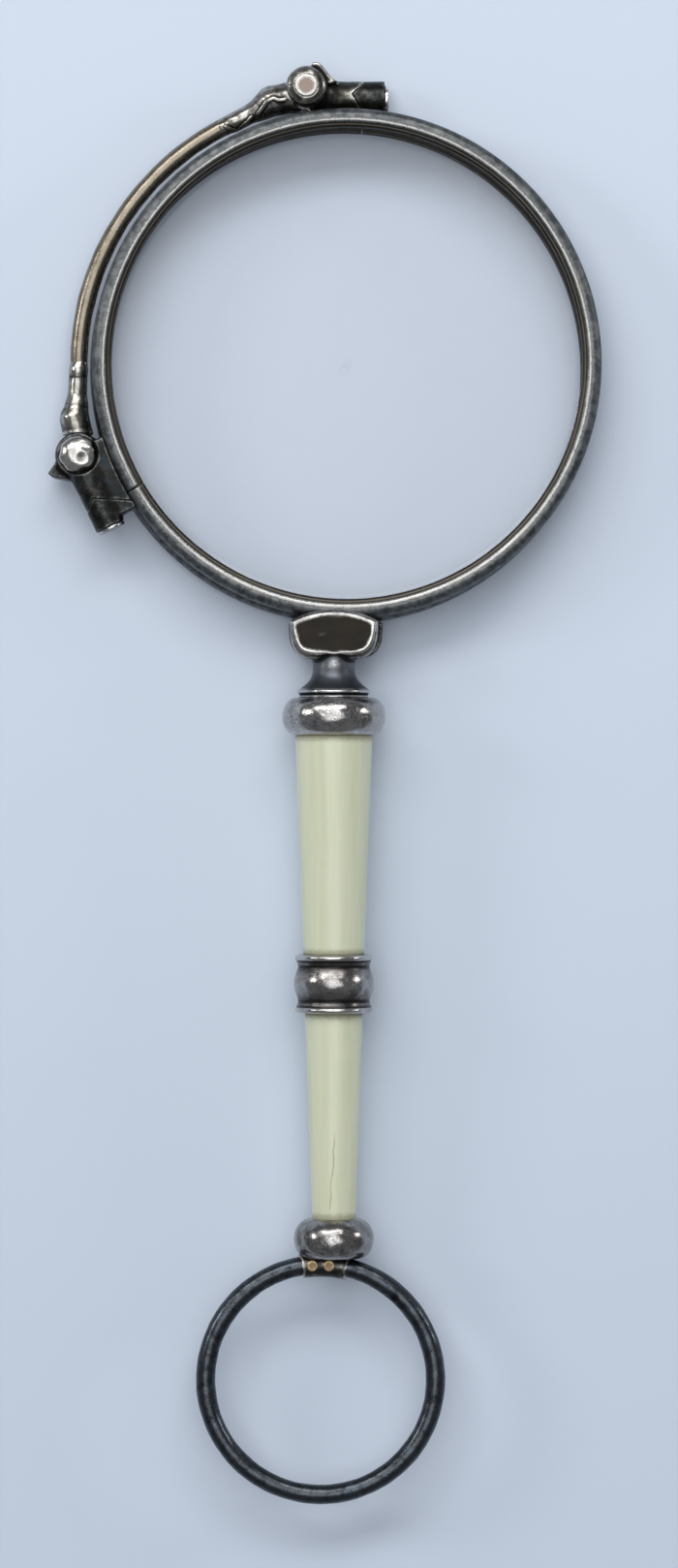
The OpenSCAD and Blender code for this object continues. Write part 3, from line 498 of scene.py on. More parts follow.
FRONT_CENTRE = (RIM_X, RIM_Y)
REAR_CENTRE = (RIM_X - REAR_SHIFT, RIM_Y - REAR_DROP)
FRONT_RIM_SILVER, REAR_RIM_SILVER = [silver(
    name, (0.36, 0.356, 0.342), (0.055, 0.059, 0.061), (0.012, 0.012, 0.012), 0.28, 0.4, 1.0,
    (0.08, 0.07, 0.055), 0.25, blue=0.2, mottle=0.5, rubbed_all=0.24, centre=centre, crest=RIM_R - 0.96,
    wall=(RIM_R - RIM_W + start, RIM_R - RIM_W + end, (0.045, 0.036, 0.024)))
    for name, centre, start, end in (("front_rim_silver", FRONT_CENTRE, 0.15, 0.5),
                                     ("rear_rim_silver", REAR_CENTRE, 0.4, 0.9))]
CAST_SILVER = silver("cast_silver", (0.42, 0.41, 0.38), (0.05, 0.049, 0.046), (0.015, 0.014, 0.013), 0.18, 0.38, 1.4,
                     (0.12, 0.092, 0.06), 0.4, rubbed_all=0.3)
DARK_SILVER = silver("dark_silver", (0.17, 0.172, 0.165), (0.017, 0.0185, 0.018), (0.006, 0.007, 0.008), 0.24, 0.38,
                     0.4, (0.036, 0.032, 0.024), 0.4, blue=0.15, mottle=0.8, rubbed_all=0.16)
KNUCKLE_SILVER = silver("knuckle_silver", (0.42, 0.41, 0.38), (0.045, 0.044, 0.039), (0.008, 0.008, 0.007), 0.2, 0.36,
                        0.9, (0.05, 0.04, 0.026), 0.4, blue=0.15, mottle=0.7, rubbed_all=0.14)
BRIDGE_SILVER = silver("bridge_silver", (0.25, 0.218, 0.172), (0.032, 0.027, 0.021), (0.014, 0.012, 0.01), 0.26, 0.4,
                       1.2, (0.09, 0.066, 0.04), 0.5, rubbed_all=0.16, centre=FRONT_CENTRE)
HEAD_SILVER = silver("head_silver", (0.55, 0.535, 0.51), (0.02, 0.0185, 0.016), (0.009, 0.008, 0.007), 0.2, 0.4, 1.4,
                     (0.026, 0.0205, 0.0155), 0.6, mottle=0.12, rubbed_all=0.04,
                     lower=(RIM_Y - HEAD_FOOT + 0.1, (0.11, 0.12, 0.135), (0.5, 0.5, 0.5)))
BEAD_SILVER = silver("bead_silver", (0.52, 0.505, 0.49), (0.06, 0.057, 0.056), (0.018, 0.017, 0.017), 0.1, 0.25, 1.0,
                     (0.1, 0.083, 0.076), 0.4, mottle=0.5, rubbed_all=0.27)
RING_SILVER = silver("ring_silver", (0.075, 0.084, 0.096), (0.01, 0.012, 0.0155), (0.01, 0.012, 0.016), 0.24, 0.36,
                     0.8, (0.035, 0.036, 0.038), 0.3, blue=0.6, rubbed_all=0.32)
DOME_SILVER = silver("dome_silver", (0.7, 0.68, 0.65), (0.36, 0.35, 0.33), (0.12, 0.115, 0.105), 0.1, 0.22, 0.6,
                     (0.4, 0.37, 0.33), 0.3)
RIVET_PINK = silver("rivet_pink", (0.58, 0.56, 0.53), (0.17, 0.16, 0.15), (0.08, 0.075, 0.07), 0.2, 0.45, 0.6,
                    (0.2, 0.17, 0.14), 0.3, centre=UPPER_PIN, crest=0.74, wall=(0.54, 0.62, (0.27, 0.21, 0.18)))
SCREW_BRIGHT = silver("screw_bright", (0.85, 0.83, 0.8), (0.6, 0.58, 0.55), (0.15, 0.15, 0.15), 0.18, 0.32, 0.8)
STEEL = silver("steel", (0.45, 0.45, 0.47), (0.22, 0.22, 0.24), (0.05, 0.05, 0.06), 0.24, 0.4, 0.8)
BRASS = silver("brass", (0.42, 0.32, 0.2), (0.2, 0.14, 0.085), (0.06, 0.045, 0.028), 0.28, 0.42, 0.6,
               (0.18, 0.11, 0.065), 0.5, rubbed_all=0.25)


def make_grip_material():
    """Cream grip: fine bands along it, a faint green cast, darker grime at the collars and one age crack."""
    material, tree, place = start_material("grip_cream")
    x, y, z = split(tree, place)
    bands = noise(tree, place, 1.0, 4, 0.6, (1500, 60, 1500), 0.4)
    threads = noise(tree, place, 2.6, 5, 0.65, (2600, 45, 2600), 0.3)
    cloud = noise(tree, place, 0.22, 3)
    speck = noise(tree, place, 5.0, 3)
    base = bands.between(0.3, 0.7).tint((0.575, 0.605, 0.43), (0.63, 0.655, 0.485))
    base = (threads.between(0.54, 0.7) * 0.15).tint(base, (0.5, 0.51, 0.33))
    base = (cloud.between(0.45, 0.7) * 0.3).tint(base, (0.65, 0.655, 0.52))
    down = (y - RIM_Y * MM) * -1000
    grime = None
    for end in (GRIP_S, GRIP_END, COLLAR_END, LOWER_GRIP_END):
        near = (down - end + (speck - 0.5) * 0.5).absolute().between(0.1, 0.65, 1.0, 0.0)
        grime = near if grime is None else grime.most(near)
    wander = noise(tree, place, 0.6, 4, 0.6, (200, 1000, 200))
    off = (x - AXIS_X * MM) * 1000 + (wander - 0.5) * 0.45
    crack_x = (down - 62.0) * -0.07 + 0.1
    crack_length = down.between(61.5, 63.0) * down.between(67.5, 68.6, 1.0, 0.0)
    on_top = (z * 1000).between(AXIS_Z - 0.2, AXIS_Z + 0.4)
    crack = (off - crack_x).absolute().between(0.02, 0.09, 1.0, 0.0) * crack_length * on_top
    crack = crack * threads.between(0.35, 0.5)
    colour = (grime * 0.6).tint(base, (0.17, 0.15, 0.09))
    colour = (crack * 0.7).tint(colour, (0.3, 0.28, 0.13))
    rough = 0.3 + (speck - 0.5) * 0.12 + grime * 0.25
    height = threads * 0.4 + bands * 0.5 - crack * 1.5
    return finish_material(material, tree, height, 0.15, 0.00005, Base_Color=colour, Roughness=rough,
                           Subsurface_Weight=0.15, Subsurface_Scale=0.0006, IOR=1.52, Coat_Weight=0.15,
                           Coat_Roughness=0.15)


def make_lens_material():
    """Thin clear glass with a faint film of dust; its shadow stays light."""
    material, tree, place = start_material("lens_glass")
    dust = noise(tree, place, 0.5, 5)
    clear = Shade.node(tree, "ShaderNodeBsdfTransparent", {}, {"Color": (0.993, 0.994, 0.996)})
    gloss = Shade.node(tree, "ShaderNodeBsdfGlossy", {}, {"Color": (1, 1, 1), "Roughness": 0.03})
    facing = Shade.node(tree, "ShaderNodeFresnel", {}, {"IOR": 1.45})
    inner = Shade.node(tree, "ShaderNodeNewGeometry", out=6)
    share = (facing * 0.45 + dust.between(0.5, 0.8) * 0.003).least(0.5) * (1 - inner)
    mixed = Shade.node(tree, "ShaderNodeMixShader", {}, {0: share, 1: clear, 2: gloss})
    out = tree.nodes.new("ShaderNodeOutputMaterial")
    tree.links.new(mixed.socket, out.inputs["Surface"])
    return material


GRIP_CREAM = make_grip_material()
LENS_GLASS = make_lens_material()


# --- rims

def rim_section(z, wide):
    """A rim's section: rounded outside, a low crest and a soft fall to the inner wall, a lens groove inside."""
    half, soft, inner = RIM_T / 2, 0.72, RIM_R - wide
    front = arc(RIM_R - soft, half - soft, soft, 0, 90, 12)
    flat = [(RIM_R - u, half - dip) for u, dip in (
        (0.82, 0.012), (0.94, 0.0), (1.04, 0.02), (1.14, 0.07), (1.24, 0.1))]
    lip = arc(inner + 0.3, half - 0.42, 0.3, 80, 180, 8)
    groove = [(inner, 0.48), (inner + 0.4, 0), (inner, -0.48)]
    back = arc(inner + soft, soft - half, soft, 180, 270, 8) + arc(RIM_R - soft, soft - half, soft, 270, 360, 8)
    return smooth_line(front + flat + lip + groove + back, 0.085, True) + np.array([0, z])


def uneven_rim(z, wide, seed):
    """The section at each angle, a little fuller here and slimmer there."""
    base = rim_section(z, wide)
    rng = np.random.default_rng(seed)
    parts = [(k, rng.uniform(0, 6.3), rng.uniform(0.3, 1) / k ** 0.5) for k in (7, 13, 23, 41, 67, 97)]

    def at(a):
        lift = 0.012 * sum(h * math.sin(k * a + s) for k, s, h in parts)
        s = base.copy()
        middle = np.array([RIM_R - wide / 2, z])
        return middle + (s - middle) * (1 - 0.02 + lift * 0.9)

    return at


def rim(name, centre, z, wide, cut_from, body, seed, node, material):
    """The saw cut through the rim is left as a gap in the hoop."""
    gap = math.degrees(SAW_W / RIM_R)
    points, faces = hoop(uneven_rim(z, wide, seed), centre, 900, cut_from + gap / 2, 360 - gap)
    piece(name, points, faces, body, material, [node], 8, 0.02, end_caps(points, len(rim_section(z, wide))))


def cut_angle(pin, turn, flip, barrel_in, centre):
    """Direction from a rim's centre in which its saw cut lies."""
    x, y = JOINT_X - JOINT_PLAY + 0.06, -barrel_in - BARREL_R - 0.6
    a = math.radians(turn)
    y = -y if flip else y
    px = pin[0] + x * math.cos(a) - y * math.sin(a)
    py = pin[1] + x * math.sin(a) + y * math.cos(a)
    return math.degrees(math.atan2(py - centre[1], px - centre[0]))


rim("front_rim_worn", FRONT_CENTRE, FRONT_Z, RIM_W, cut_angle(LOWER_PIN, LOWER_TURN, True, LOWER_IN, FRONT_CENTRE),
    "handle", 3, "front_rim", FRONT_RIM_SILVER)
rim("rear_rim_worn", REAR_CENTRE, REAR_Z, REAR_W, cut_angle(UPPER_PIN, 0, False, UPPER_IN, REAR_CENTRE),
    "free_rim", 5, "rear_rim", REAR_RIM_SILVER)


# --- lenses

def lens(name, centre, z, wide, body, node):
    """A lens crowned on both sides, its edge in the rim's groove, its two middles closed by fans of triangles."""
    edge, groove, rim_half, crown, steps = RIM_R - wide - 0.03, 0.37, 0.45, 0.3, 240
    side = [(r, rim_half + crown * (1 - (r / edge) ** 2)) for r in np.linspace(0.4, edge, 30)]
    section = side + [(edge + groove, 0)] + [(r, -h) for r, h in side[::-1]]
    section = np.array(section) + np.array([0, z])
    points, faces = hoop(section, centre, steps)
    row = len(section)
    keep = faces[(faces[:, 0] % row) != row - 1]
    top = len(points)
    middle = rim_half + crown
    points = np.concatenate([points, [[*centre, z + middle], [*centre, z - middle]]])
    ring = np.arange(steps)
    after = (ring + 1) % steps
    fans = [[top, a * row, b * row] for a, b in zip(ring, after)]
    fans += [[top + 1, b * row + row - 1, a * row + row - 1] for a, b in zip(ring, after)]
    mesh = bpy.data.meshes.new(name)
    mesh.from_pydata((points * MM).tolist(), [], [list(map(int, f)) for f in keep] + fans)
    mesh.polygons.foreach_set("use_smooth", [True] * len(mesh.polygons))
    mesh.materials.append(LENS_GLASS)
    obj = add_object(name, mesh)
    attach(obj, body)
    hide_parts(node)


lens("front_lens_glass", FRONT_CENTRE, FRONT_Z, RIM_W, "handle", "front_lens")
lens("rear_lens_glass", REAR_CENTRE, REAR_Z, REAR_W, "free_rim", "rear_lens")


# --- hinges

def hinge_place(pin, turn, flip):
    """Turns points of the shared frame into a hinge's own places: x along its barrel, y away from the rim."""
    a = math.radians(turn)

    def local(p):
        dx, dy = p[0] - pin[0], p[1] - pin[1]
        x = dx * math.cos(a) + dy * math.sin(a)
        y = -dx * math.sin(a) + dy * math.cos(a)
        return [x, -y if flip else y, p[2]]

    return local


UPPER = hinge_place(UPPER_PIN, 0, False)
LOWER = hinge_place(LOWER_PIN, LOWER_TURN, True)
# Outline of all that lies past the V-shaped joint of a barrel
PAST = [(JOINT_X - JOINT_V, JOINT_UP), (JOINT_X, BARREL_R), (JOINT_X, 10), (JOINT_X + 10, 10),
        (JOINT_X + 10, -12), (JOINT_X + 10 * math.tan(math.radians(SAW_LEAN)), -BARREL_R - 10),
        (JOINT_X, -BARREL_R)]


def barrel_field(q, barrel_in, z, swell, web_x):
    """The whole barrel and the web that joins it to the rim; swell takes its outer side further out."""
    end = BARREL_LEN - SCREW_HEAD_T
    across = reach(q[1] + barrel_in - swell / 2, q[2] - z) - BARREL_R - swell / 2
    tube = common(across, between(q[0], 1.0, end), 0.08)
    web = slab(q, (web_x, -barrel_in - BARREL_R - 2, z - WEB_T / 2), (end - 0.4, -barrel_in, z + WEB_T / 2), 0.25)
    return blend(tube, web, 0.35)


def fall(t):
    return t * t * (3 - 2 * t)


def fin_outline(tip_x, tip_y, lean, flat, foot_y):
    """A stop fin: steep on its front side, and a curved fall from its tip to the barrel."""
    return [(tip_x + 1.4, 0.2), (tip_x - lean, 0.9), (tip_x - lean, 0.7 * tip_y), (tip_x, tip_y)] + [
        (tip_x + flat + 1.65 * t, tip_y - (tip_y - foot_y) * fall(t)) for t in np.linspace(0, 1, 9)]


def rim_space(p, centre):
    return reach(p[0] - centre[0], p[1] - centre[1]) - RIM_R + 0.03


def seat_height(knuckle, seat_r, crown):
    return LEAF_FRONT + crown * math.sqrt(1 - (seat_r / knuckle) ** 2)


def block_field(place, knuckle, barrel_in, rim_z, fin_points, crown, seat_r, centre, seed, swell, web_x):
    """Knuckle with its two leaves, fin, neck and the fixed half of its barrel, as one worn casting."""
    def field(p):
        q = place(p)
        out = reach(q[0], q[1])
        top = LEAF_FRONT + crown * np.sqrt(np.maximum(1 - (out / (knuckle + 0.05)) ** 2, 0))
        body = common(out - knuckle, np.maximum(LEAF_BACK - q[2], q[2] - top), 0.3)
        neck = rod(q, (0.2, -0.1, MID_Z), (2.5, -barrel_in, rim_z), 1.2, BARREL_R - 0.04)
        neck = common(neck, between(q[2], LEAF_BACK, LEAF_FRONT + 0.2), 0.25)
        whole = blend(body, neck, 0.35)
        fin = common(outline(q[0], q[1], fin_points), between(q[2], LEAF_BACK + 0.04, LEAF_FRONT - 0.04), 0.16)
        whole = blend(whole, fin, 0.28)
        barrel = barrel_field(q, barrel_in, rim_z, swell, web_x)
        barrel = carve(barrel, outline(q[0] + JOINT_PLAY, q[1] + barrel_in, PAST), 0.03)
        whole = blend(whole, barrel, 0.3)
        whole = whole + 0.022 * waves(q, 2.4, seed) + 0.005 * waves(q, 0.9, seed + 1)
        slot = common(between(q[2], SLOT_Z, SLOT_Z + SLOT_H), np.minimum(q[0] - 0.5, out - knuckle + 0.05), 0.02)
        whole = carve(whole, slot, 0.03)
        seat = np.maximum(out - seat_r, seat_height(knuckle, seat_r, crown) - q[2])
        whole = carve(whole, seat, 0.03)
        beyond = FRONT_Z0 - 1 - p[2] if rim_z == FRONT_Z else p[2] - RIM_T
        return carve(whole, np.maximum(rim_space(p, centre), beyond), 0.02)

    return field


def closing_field(place, barrel_in, rim_z, centre, seed, swell):
    """The half of a barrel that lies past its joint."""
    def field(p):
        q = place(p)
        barrel = barrel_field(q, barrel_in, rim_z, swell, 1.0)
        half = common(barrel, outline(q[0], q[1] + barrel_in, PAST), 0.04)
        half = half + 0.012 * waves(q, 2.0, seed)
        return carve(half, rim_space(p, centre), 0.02)

    return field


def cast(name, field, cell, body, material, stands_for, rounds=12, grow=0.5, wear_depth=0.02):
    """Makes a blended form inside the box of the CAD nodes that it stands for."""
    boxes = [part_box(n) for n in stands_for]
    lows = [min(b[0][i] for b in boxes) / MM - grow for i in range(3)]
    highs = [max(b[1][i] for b in boxes) / MM + grow for i in range(3)]
    points, faces = skin(field, lows, highs, cell)
    return piece(name, points, faces, body, material, stands_for, rounds, wear_depth)


CELL = 0.07
FINE_CELL = 0.06
FIN_FOOT = 0.97 * BARREL_R
cast("upper_knuckle_cast", block_field(
    UPPER, UPPER_BALL, UPPER_IN, REAR_Z, fin_outline(0.5, 1.94, 0.08, 0.35, FIN_FOOT - UPPER_IN), UPPER_CROWN,
    UPPER_SEAT, REAR_CENTRE, 11, UPPER_SWELL, UPPER_WEB_X), CELL, "free_rim", KNUCKLE_SILVER,
    ["rear_hinge_block"])
cast("lower_knuckle_cast", block_field(
    LOWER, LOWER_KNUCKLE, LOWER_IN, FRONT_Z, fin_outline(0.31, 2.83, 0.5, 0.02, FIN_FOOT - LOWER_IN), LOWER_CROWN,
    LOWER_SEAT, FRONT_CENTRE, 21, LOWER_SWELL, LOWER_WEB_X), CELL, "handle", DARK_SILVER,
    ["front_hinge_block"])
cast("upper_closing_barrel", closing_field(UPPER, UPPER_IN, REAR_Z, REAR_CENTRE, 31, UPPER_SWELL),
     CELL, "free_rim", DARK_SILVER, ["rear_closing_barrel"])
cast("lower_closing_barrel", closing_field(LOWER, LOWER_IN, FRONT_Z, FRONT_CENTRE, 41, LOWER_SWELL),
     CELL, "handle", DARK_SILVER, ["front_closing_barrel"])


def screw_field(place, barrel_in, z):
    """A slotted screw in the end of a barrel."""
    def field(p):
        q = place(p)
        out = reach(q[1] + barrel_in, q[2] - z)
        head = common(out - SCREW_HEAD_R, between(q[0], BARREL_LEN - SCREW_HEAD_T, BARREL_LEN), 0.1)
        head = carve(head, np.maximum(between(q[2] - z, -0.09, 0.09), BARREL_LEN - SCREW_HEAD_T / 2 - q[0]), 0.02)
        return np.minimum(head, np.maximum(out - 0.45, between(q[0], 2.0, BARREL_LEN - SCREW_HEAD_T)))

    return field


cast("upper_closing_screw", screw_field(UPPER, UPPER_IN, REAR_Z), 0.07, "free_rim",
     SCREW_BRIGHT, ["rear_closing_screw"], grow=0.2)
cast("lower_closing_screw", screw_field(LOWER, LOWER_IN, FRONT_Z), 0.07, "handle", STEEL,
     ["front_closing_screw"], grow=0.2)


def rivet_field(place, seat_z, head):
    """A hinge pin with its flat tail at the back and its head in the knuckle's seat."""
    def field(p):
        q = place(p)
        out = reach(q[0], q[1])
        tail = common(out - RIVET_TAIL_R, between(q[2], LEAF_BACK - 0.3, LEAF_BACK), 0.08)
        shank = np.maximum(out - RIVET_R, between(q[2], LEAF_BACK - 0.1, seat_z))
        return np.minimum(np.minimum(tail, shank), head(q, out, seat_z))

    return field


def dome_head(q, out, seat_z):
    up = (q[2] - seat_z + 0.25) / 0.9
    ball = (np.sqrt((out / LOWER_HEAD_R) ** 2 + np.maximum(up, 0) ** 2) - 1) * 0.75
    dent = reach(q[0] - 0.55, q[1] + 0.15, q[2] - seat_z - 1.35) - 0.85
    ball = ball + 0.02 * waves(q, 1.1, 7)
    return common(carve(ball, dent, 0.2), seat_z - 0.3 - q[2], 0.02)


def flat_head(q, out, seat_z):
    return common(out - UPPER_HEAD_R + 0.02 * waves(q, 0.6, 8), between(q[2], seat_z - 0.2, seat_z + 0.1), 0.12)


cast("upper_rivet", rivet_field(UPPER, seat_height(UPPER_BALL, UPPER_SEAT, UPPER_CROWN), flat_head),
     FINE_CELL, "free_rim", RIVET_PINK, ["upper_hinge_rivet"])
cast("lower_rivet_dome", rivet_field(LOWER, seat_height(LOWER_KNUCKLE, LOWER_SEAT, LOWER_CROWN), dome_head),
     FINE_CELL, "handle", DOME_SILVER, ["lower_hinge_rivet"], grow=0.2)


# --- bridge

def arm_field(place, knuckle, clear, lean, r, inset, bar_angle, seed, lumps, ridges):
    """A cast arm: flared to its shoulder, waisted, and run out on the bar.

    Its tongue goes between the leaves. clear is the reach of the round cut round the knuckle, and lumps and
    ridges are the uneven places of the casting.
    """
    away = knuckle - 0.2
    a = math.radians(lean)
    b = math.radians(bar_angle)
    bar = (RIM_X + BRIDGE_R * math.cos(b), RIM_Y + BRIDGE_R * math.sin(b), MID_Z)
    shoulder = (-(away - inset * math.sin(a)) / math.cos(a), -inset)
    waist = (-2.9, -inset - 0.35)
    neck = (-3.75, -inset - 0.96)

    def field(p):
        q = place(p)
        s = [q[0], q[1], (q[2] - MID_Z) / 1.1]
        end = place(bar)
        main = rod(s, (*shoulder, 0), (*waist, 0), r, 0.86 * r)
        main = blend(main, rod(s, (*waist, 0), (*neck, 0), 0.86 * r, 0.64 * r), 0.5)
        tail = rod([q[0], q[1], q[2] - MID_Z], (*neck, 0), (end[0], end[1], 0), 0.66 * r, BRIDGE_D / 2 + 0.03)
        whole = blend(main, tail, 0.5) + 0.04
        for x, y, z, size in lumps:
            whole = blend(whole, reach(p[0] - x, p[1] - y, p[2] - MID_Z - z) - size, 0.2)
        whole = whole + 0.012 * waves(q, 2.6, seed) + 0.004 * waves(q, 0.9, seed + 1)
        for line in ridges:
            seam = np.full(np.shape(p[0]), 9.0)
            for (x0, y0), (x1, y1) in zip(line, line[1:]):
                seam = np.minimum(seam, rod([p[0], p[1], 0 * p[2]], (x0, y0, 0), (x1, y1, 0), 0.06, 0.06))
            whole = blend(whole, np.maximum(np.maximum(seam, whole - 0.03), MID_Z - p[2]), 0.2)
        along = -q[0] * math.cos(a) - q[1] * math.sin(a)
        whole = carve(whole, np.maximum(along - away, reach(q[0], q[1]) - clear), 0.2)
        eye = np.maximum(reach(q[0], q[1]) - knuckle + 0.15, between(q[2], MID_Z - 0.6, MID_Z + 0.6))
        across = q[0] * math.sin(a) - q[1] * math.cos(a)
        strap = np.maximum(np.maximum(between(along, 0, clear + 0.3), between(across, -0.65, 0.65)),
                           between(q[2], MID_Z - 0.6, MID_Z + 0.6))
        whole = np.minimum(whole, np.minimum(eye, strap))
        return carve(whole, np.maximum(reach(q[0], q[1]) - 0.54, between(q[2], 0, 6)), 0.02)

    return field


UPPER_LUMPS = [(-8.15, 52.95, 0.22, 0.6), (-7.3, 53.45, 0.3, 0.5)]
UPPER_RIDGES = [[(-8.03, 52.98), (-7.6, 52.7), (-7.06, 52.65), (-6.3, 53.3), (-5.98, 53.66)],
                [(-5.42, 53.97), (-5.1, 54.35), (-4.72, 54.91), (-4.17, 55.2), (-3.7, 55.0), (-3.24, 55.07)]]
LOWER_LUMPS = [(-19.95, 33.35, 0.1, 0.72)]
cast("upper_arm_cast", arm_field(
    UPPER, UPPER_KNUCKLE, UPPER_BALL + UPPER_ARM_GAP, 16, UPPER_SHOULDER_R, UPPER_SHOULDER_IN, BRIDGE_FROM, 51,
    UPPER_LUMPS, UPPER_RIDGES), CELL, "bridge", CAST_SILVER, ["upper_bridge_arm"])
cast("lower_arm_cast", arm_field(
    LOWER, LOWER_KNUCKLE, LOWER_KNUCKLE + LOWER_ARM_GAP, 25.5, LOWER_SHOULDER_R, LOWER_SHOULDER_IN, BRIDGE_TO, 61,
    LOWER_LUMPS, []), CELL, "bridge", CAST_SILVER, ["lower_bridge_arm"])

BAR_SIDES = 40


def bar_section(a):
    """The bar is a little flattened and uneven along its length."""
    k = 1 + 0.02 * math.sin(9 * a + 1) + 0.015 * math.sin(31 * a) + 0.01 * math.sin(67 * a + 2)
    t = np.linspace(0, 2 * math.pi, BAR_SIDES, endpoint=False)
    r = BRIDGE_D / 2 - 0.02
    return np.stack([BRIDGE_R + r * k * np.cos(t), MID_Z + r * k * np.sin(t)], 1)


points, faces = hoop(bar_section, FRONT_CENTRE, 260, BRIDGE_FROM - 0.6, BRIDGE_TO - BRIDGE_FROM + 1.2)
piece("bridge_bar_worn", points, faces, "bridge", BRIDGE_SILVER, ["bridge_bar"], 6, 0.02,
      end_caps(points, BAR_SIDES))


# --- head and neck

def shield_outline(w, top, corner, foot):
    """A shield with a low arch on top and full sides that round into its foot, on the handle's axis."""
    rise = corner - top
    arch_r = (w * w / 4 + rise * rise) / (2 * rise)
    half = math.degrees(math.asin(w / 2 / arch_r))
    head = arc(0, -top - arch_r, arch_r, 90 - half, 90 + half, 14)
    side = [(w / 2 * max(math.cos(a), 0) ** 0.44, -corner - (foot - corner) * math.sin(a) ** 0.667)
            for a in np.radians(np.arange(0, 91, 7.5))]
    return head + [(-x, y) for x, y in side] + side[-2::-1]


SHIELD = shield_outline(HEAD_W, HEAD_TOP, HEAD_CORNER, HEAD_FOOT)
FLARE = np.linspace(0, 1, 16)
NECK = [(0, HEAD_FOOT - 0.5), (NECK_R + 0.02, HEAD_FOOT - 0.5)] + [
    (NECK_R + 1.1 * t ** 2.3, HEAD_FOOT + 0.75 + 1.6 * t) for t in FLARE] + arc(
    STEP_R - 0.16, HEAD_FOOT + 2.56, 0.16, -80, 80, 6) + [(STEP_R - 0.22, HEAD_FOOT + 2.8), (STEP_R - 0.2, BEAD_S),
                                                      (0, BEAD_S)]


def head_field(p):
    u, v = p[0] - AXIS_X, p[1] - RIM_Y
    edge = outline(u, v, SHIELD)
    block = common(edge, between(p[2], FRONT_Z0, HEAD_Z1), 0.03)
    bevel = 0.28 + 0.22 * np.clip((-v - HEAD_CORNER - 0.6) / 2, 0, 1)
    slope = ((edge + bevel) * 0.4 + (p[2] - HEAD_Z1) * bevel) / np.sqrt(bevel ** 2 + 0.16)
    block = common(block, slope, 0.07)
    block = carve(block, np.maximum(reach(p[0] - RIM_X, v) - RIM_R, p[2] - FRONT_Z1), 0.03)
    out = reach(u, p[2] - AXIS_Z)
    neck = outline(-v, out, [(s, r) for r, s in NECK])
    whole = blend(block, neck, 0.16)
    return whole + 0.012 * waves(p, 1.6, 71)


cast("shield_head", head_field, 0.075, "handle",
     HEAD_SILVER, ["handle_head"], rounds=30, wear_depth=0.03)

LUG = shield_outline(7.6, HEAD_TOP, HEAD_CORNER + 0.2, HEAD_FOOT - 0.16)


def lug_field(p):
    u, v = p[0] - AXIS_X - 0.15, p[1] - RIM_Y
    block = common(outline(u, v, LUG), between(p[2], 0, RIM_T), 0.12)
    block = carve(block, reach(p[0] - REAR_CENTRE[0], p[1] - REAR_CENTRE[1]) - RIM_R + 0.02, 0.02)
    dimple = reach(u + 0.15, v + 22.285, p[2] - FRONT_Z0) - 0.45
    return carve(block, dimple, 0.03) + 0.015 * waves(p, 1.5, 81)


cast("rear_lug_cast", lug_field, CELL, "free_rim", DARK_SILVER, ["rear_lug"])


# --- handle

def bead_line(s, length, widest, r, r0, r1):
    """A bead's profile from s on, r at its widest place and r0 and r1 at its ends."""
    side = [(s + widest * (1 + math.sin(a)), r0 + (r - r0) * math.cos(a)) for a in np.radians(np.arange(-90, 1, 6))]
    side += [(s + widest + (length - widest) * math.sin(a), r1 + (r - r1) * math.cos(a))
             for a in np.radians(np.arange(6, 91, 6))]
    return side


def turned_piece(name, profile, slot, material, node, **more):
    points, faces = turned(profile, **more)
    return piece(name, points, faces, "handle", material, [node], 6, 0.02)


def collar_line():
    """Two rolled lips, a groove inside each and a bulge between."""
    length = COLLAR_END - GRIP_END
    lip, groove = 0.11 * length, 0.2 * length
    half = [(s, r) for r, s in arc(LIP_R - lip / 2, GRIP_END + lip / 2, lip / 2, -90, 60, 8)] + [
        (GRIP_END + groove + (length / 2 - groove) * t, COLLAR_GROOVE_R + (BULGE_R - COLLAR_GROOVE_R) * math.sin(
            math.pi / 2 * t) ** 1.3) for t in np.linspace(0, 1, 14)]
    return half + [(GRIP_END + COLLAR_END - s, r) for s, r in half[-2::-1]]


turned_piece("upper_bead_turned", [(BEAD_S, BORE)] + bead_line(
    BEAD_S, BEAD_LEN, BEAD_LEN / 2, BEAD_R, STEP_R + 0.1, GRIP_TOP_R) + [(BEAD_S + BEAD_LEN, BORE)],
             "silver", BEAD_SILVER, "upper_bead", uneven=0.004, seed=2)
turned_piece("middle_collar_turned", [(GRIP_END, BORE)] + collar_line() + [(COLLAR_END, BORE)],
             "silver", BEAD_SILVER, "middle_collar", uneven=0.003, seed=3)


def grip_line(s0, s1, r0, r1):
    return [(s0, BORE)] + [(s0 + (s1 - s0) * t, r0 + (r1 - r0) * t) for t in np.linspace(0, 1, 60)] + [(s1, BORE)]


turned_piece("upper_grip_cream", grip_line(GRIP_S, GRIP_END, GRIP_TOP_R, GRIP_MID_R), "grip", GRIP_CREAM,
             "upper_grip", uneven=0.002, seed=4)
turned_piece("lower_grip_cream", grip_line(COLLAR_END, LOWER_GRIP_END + DISH_D, LOWER_GRIP_R, GRIP_FOOT_R), "grip",
             GRIP_CREAM, "lower_grip", uneven=0.002, seed=5)


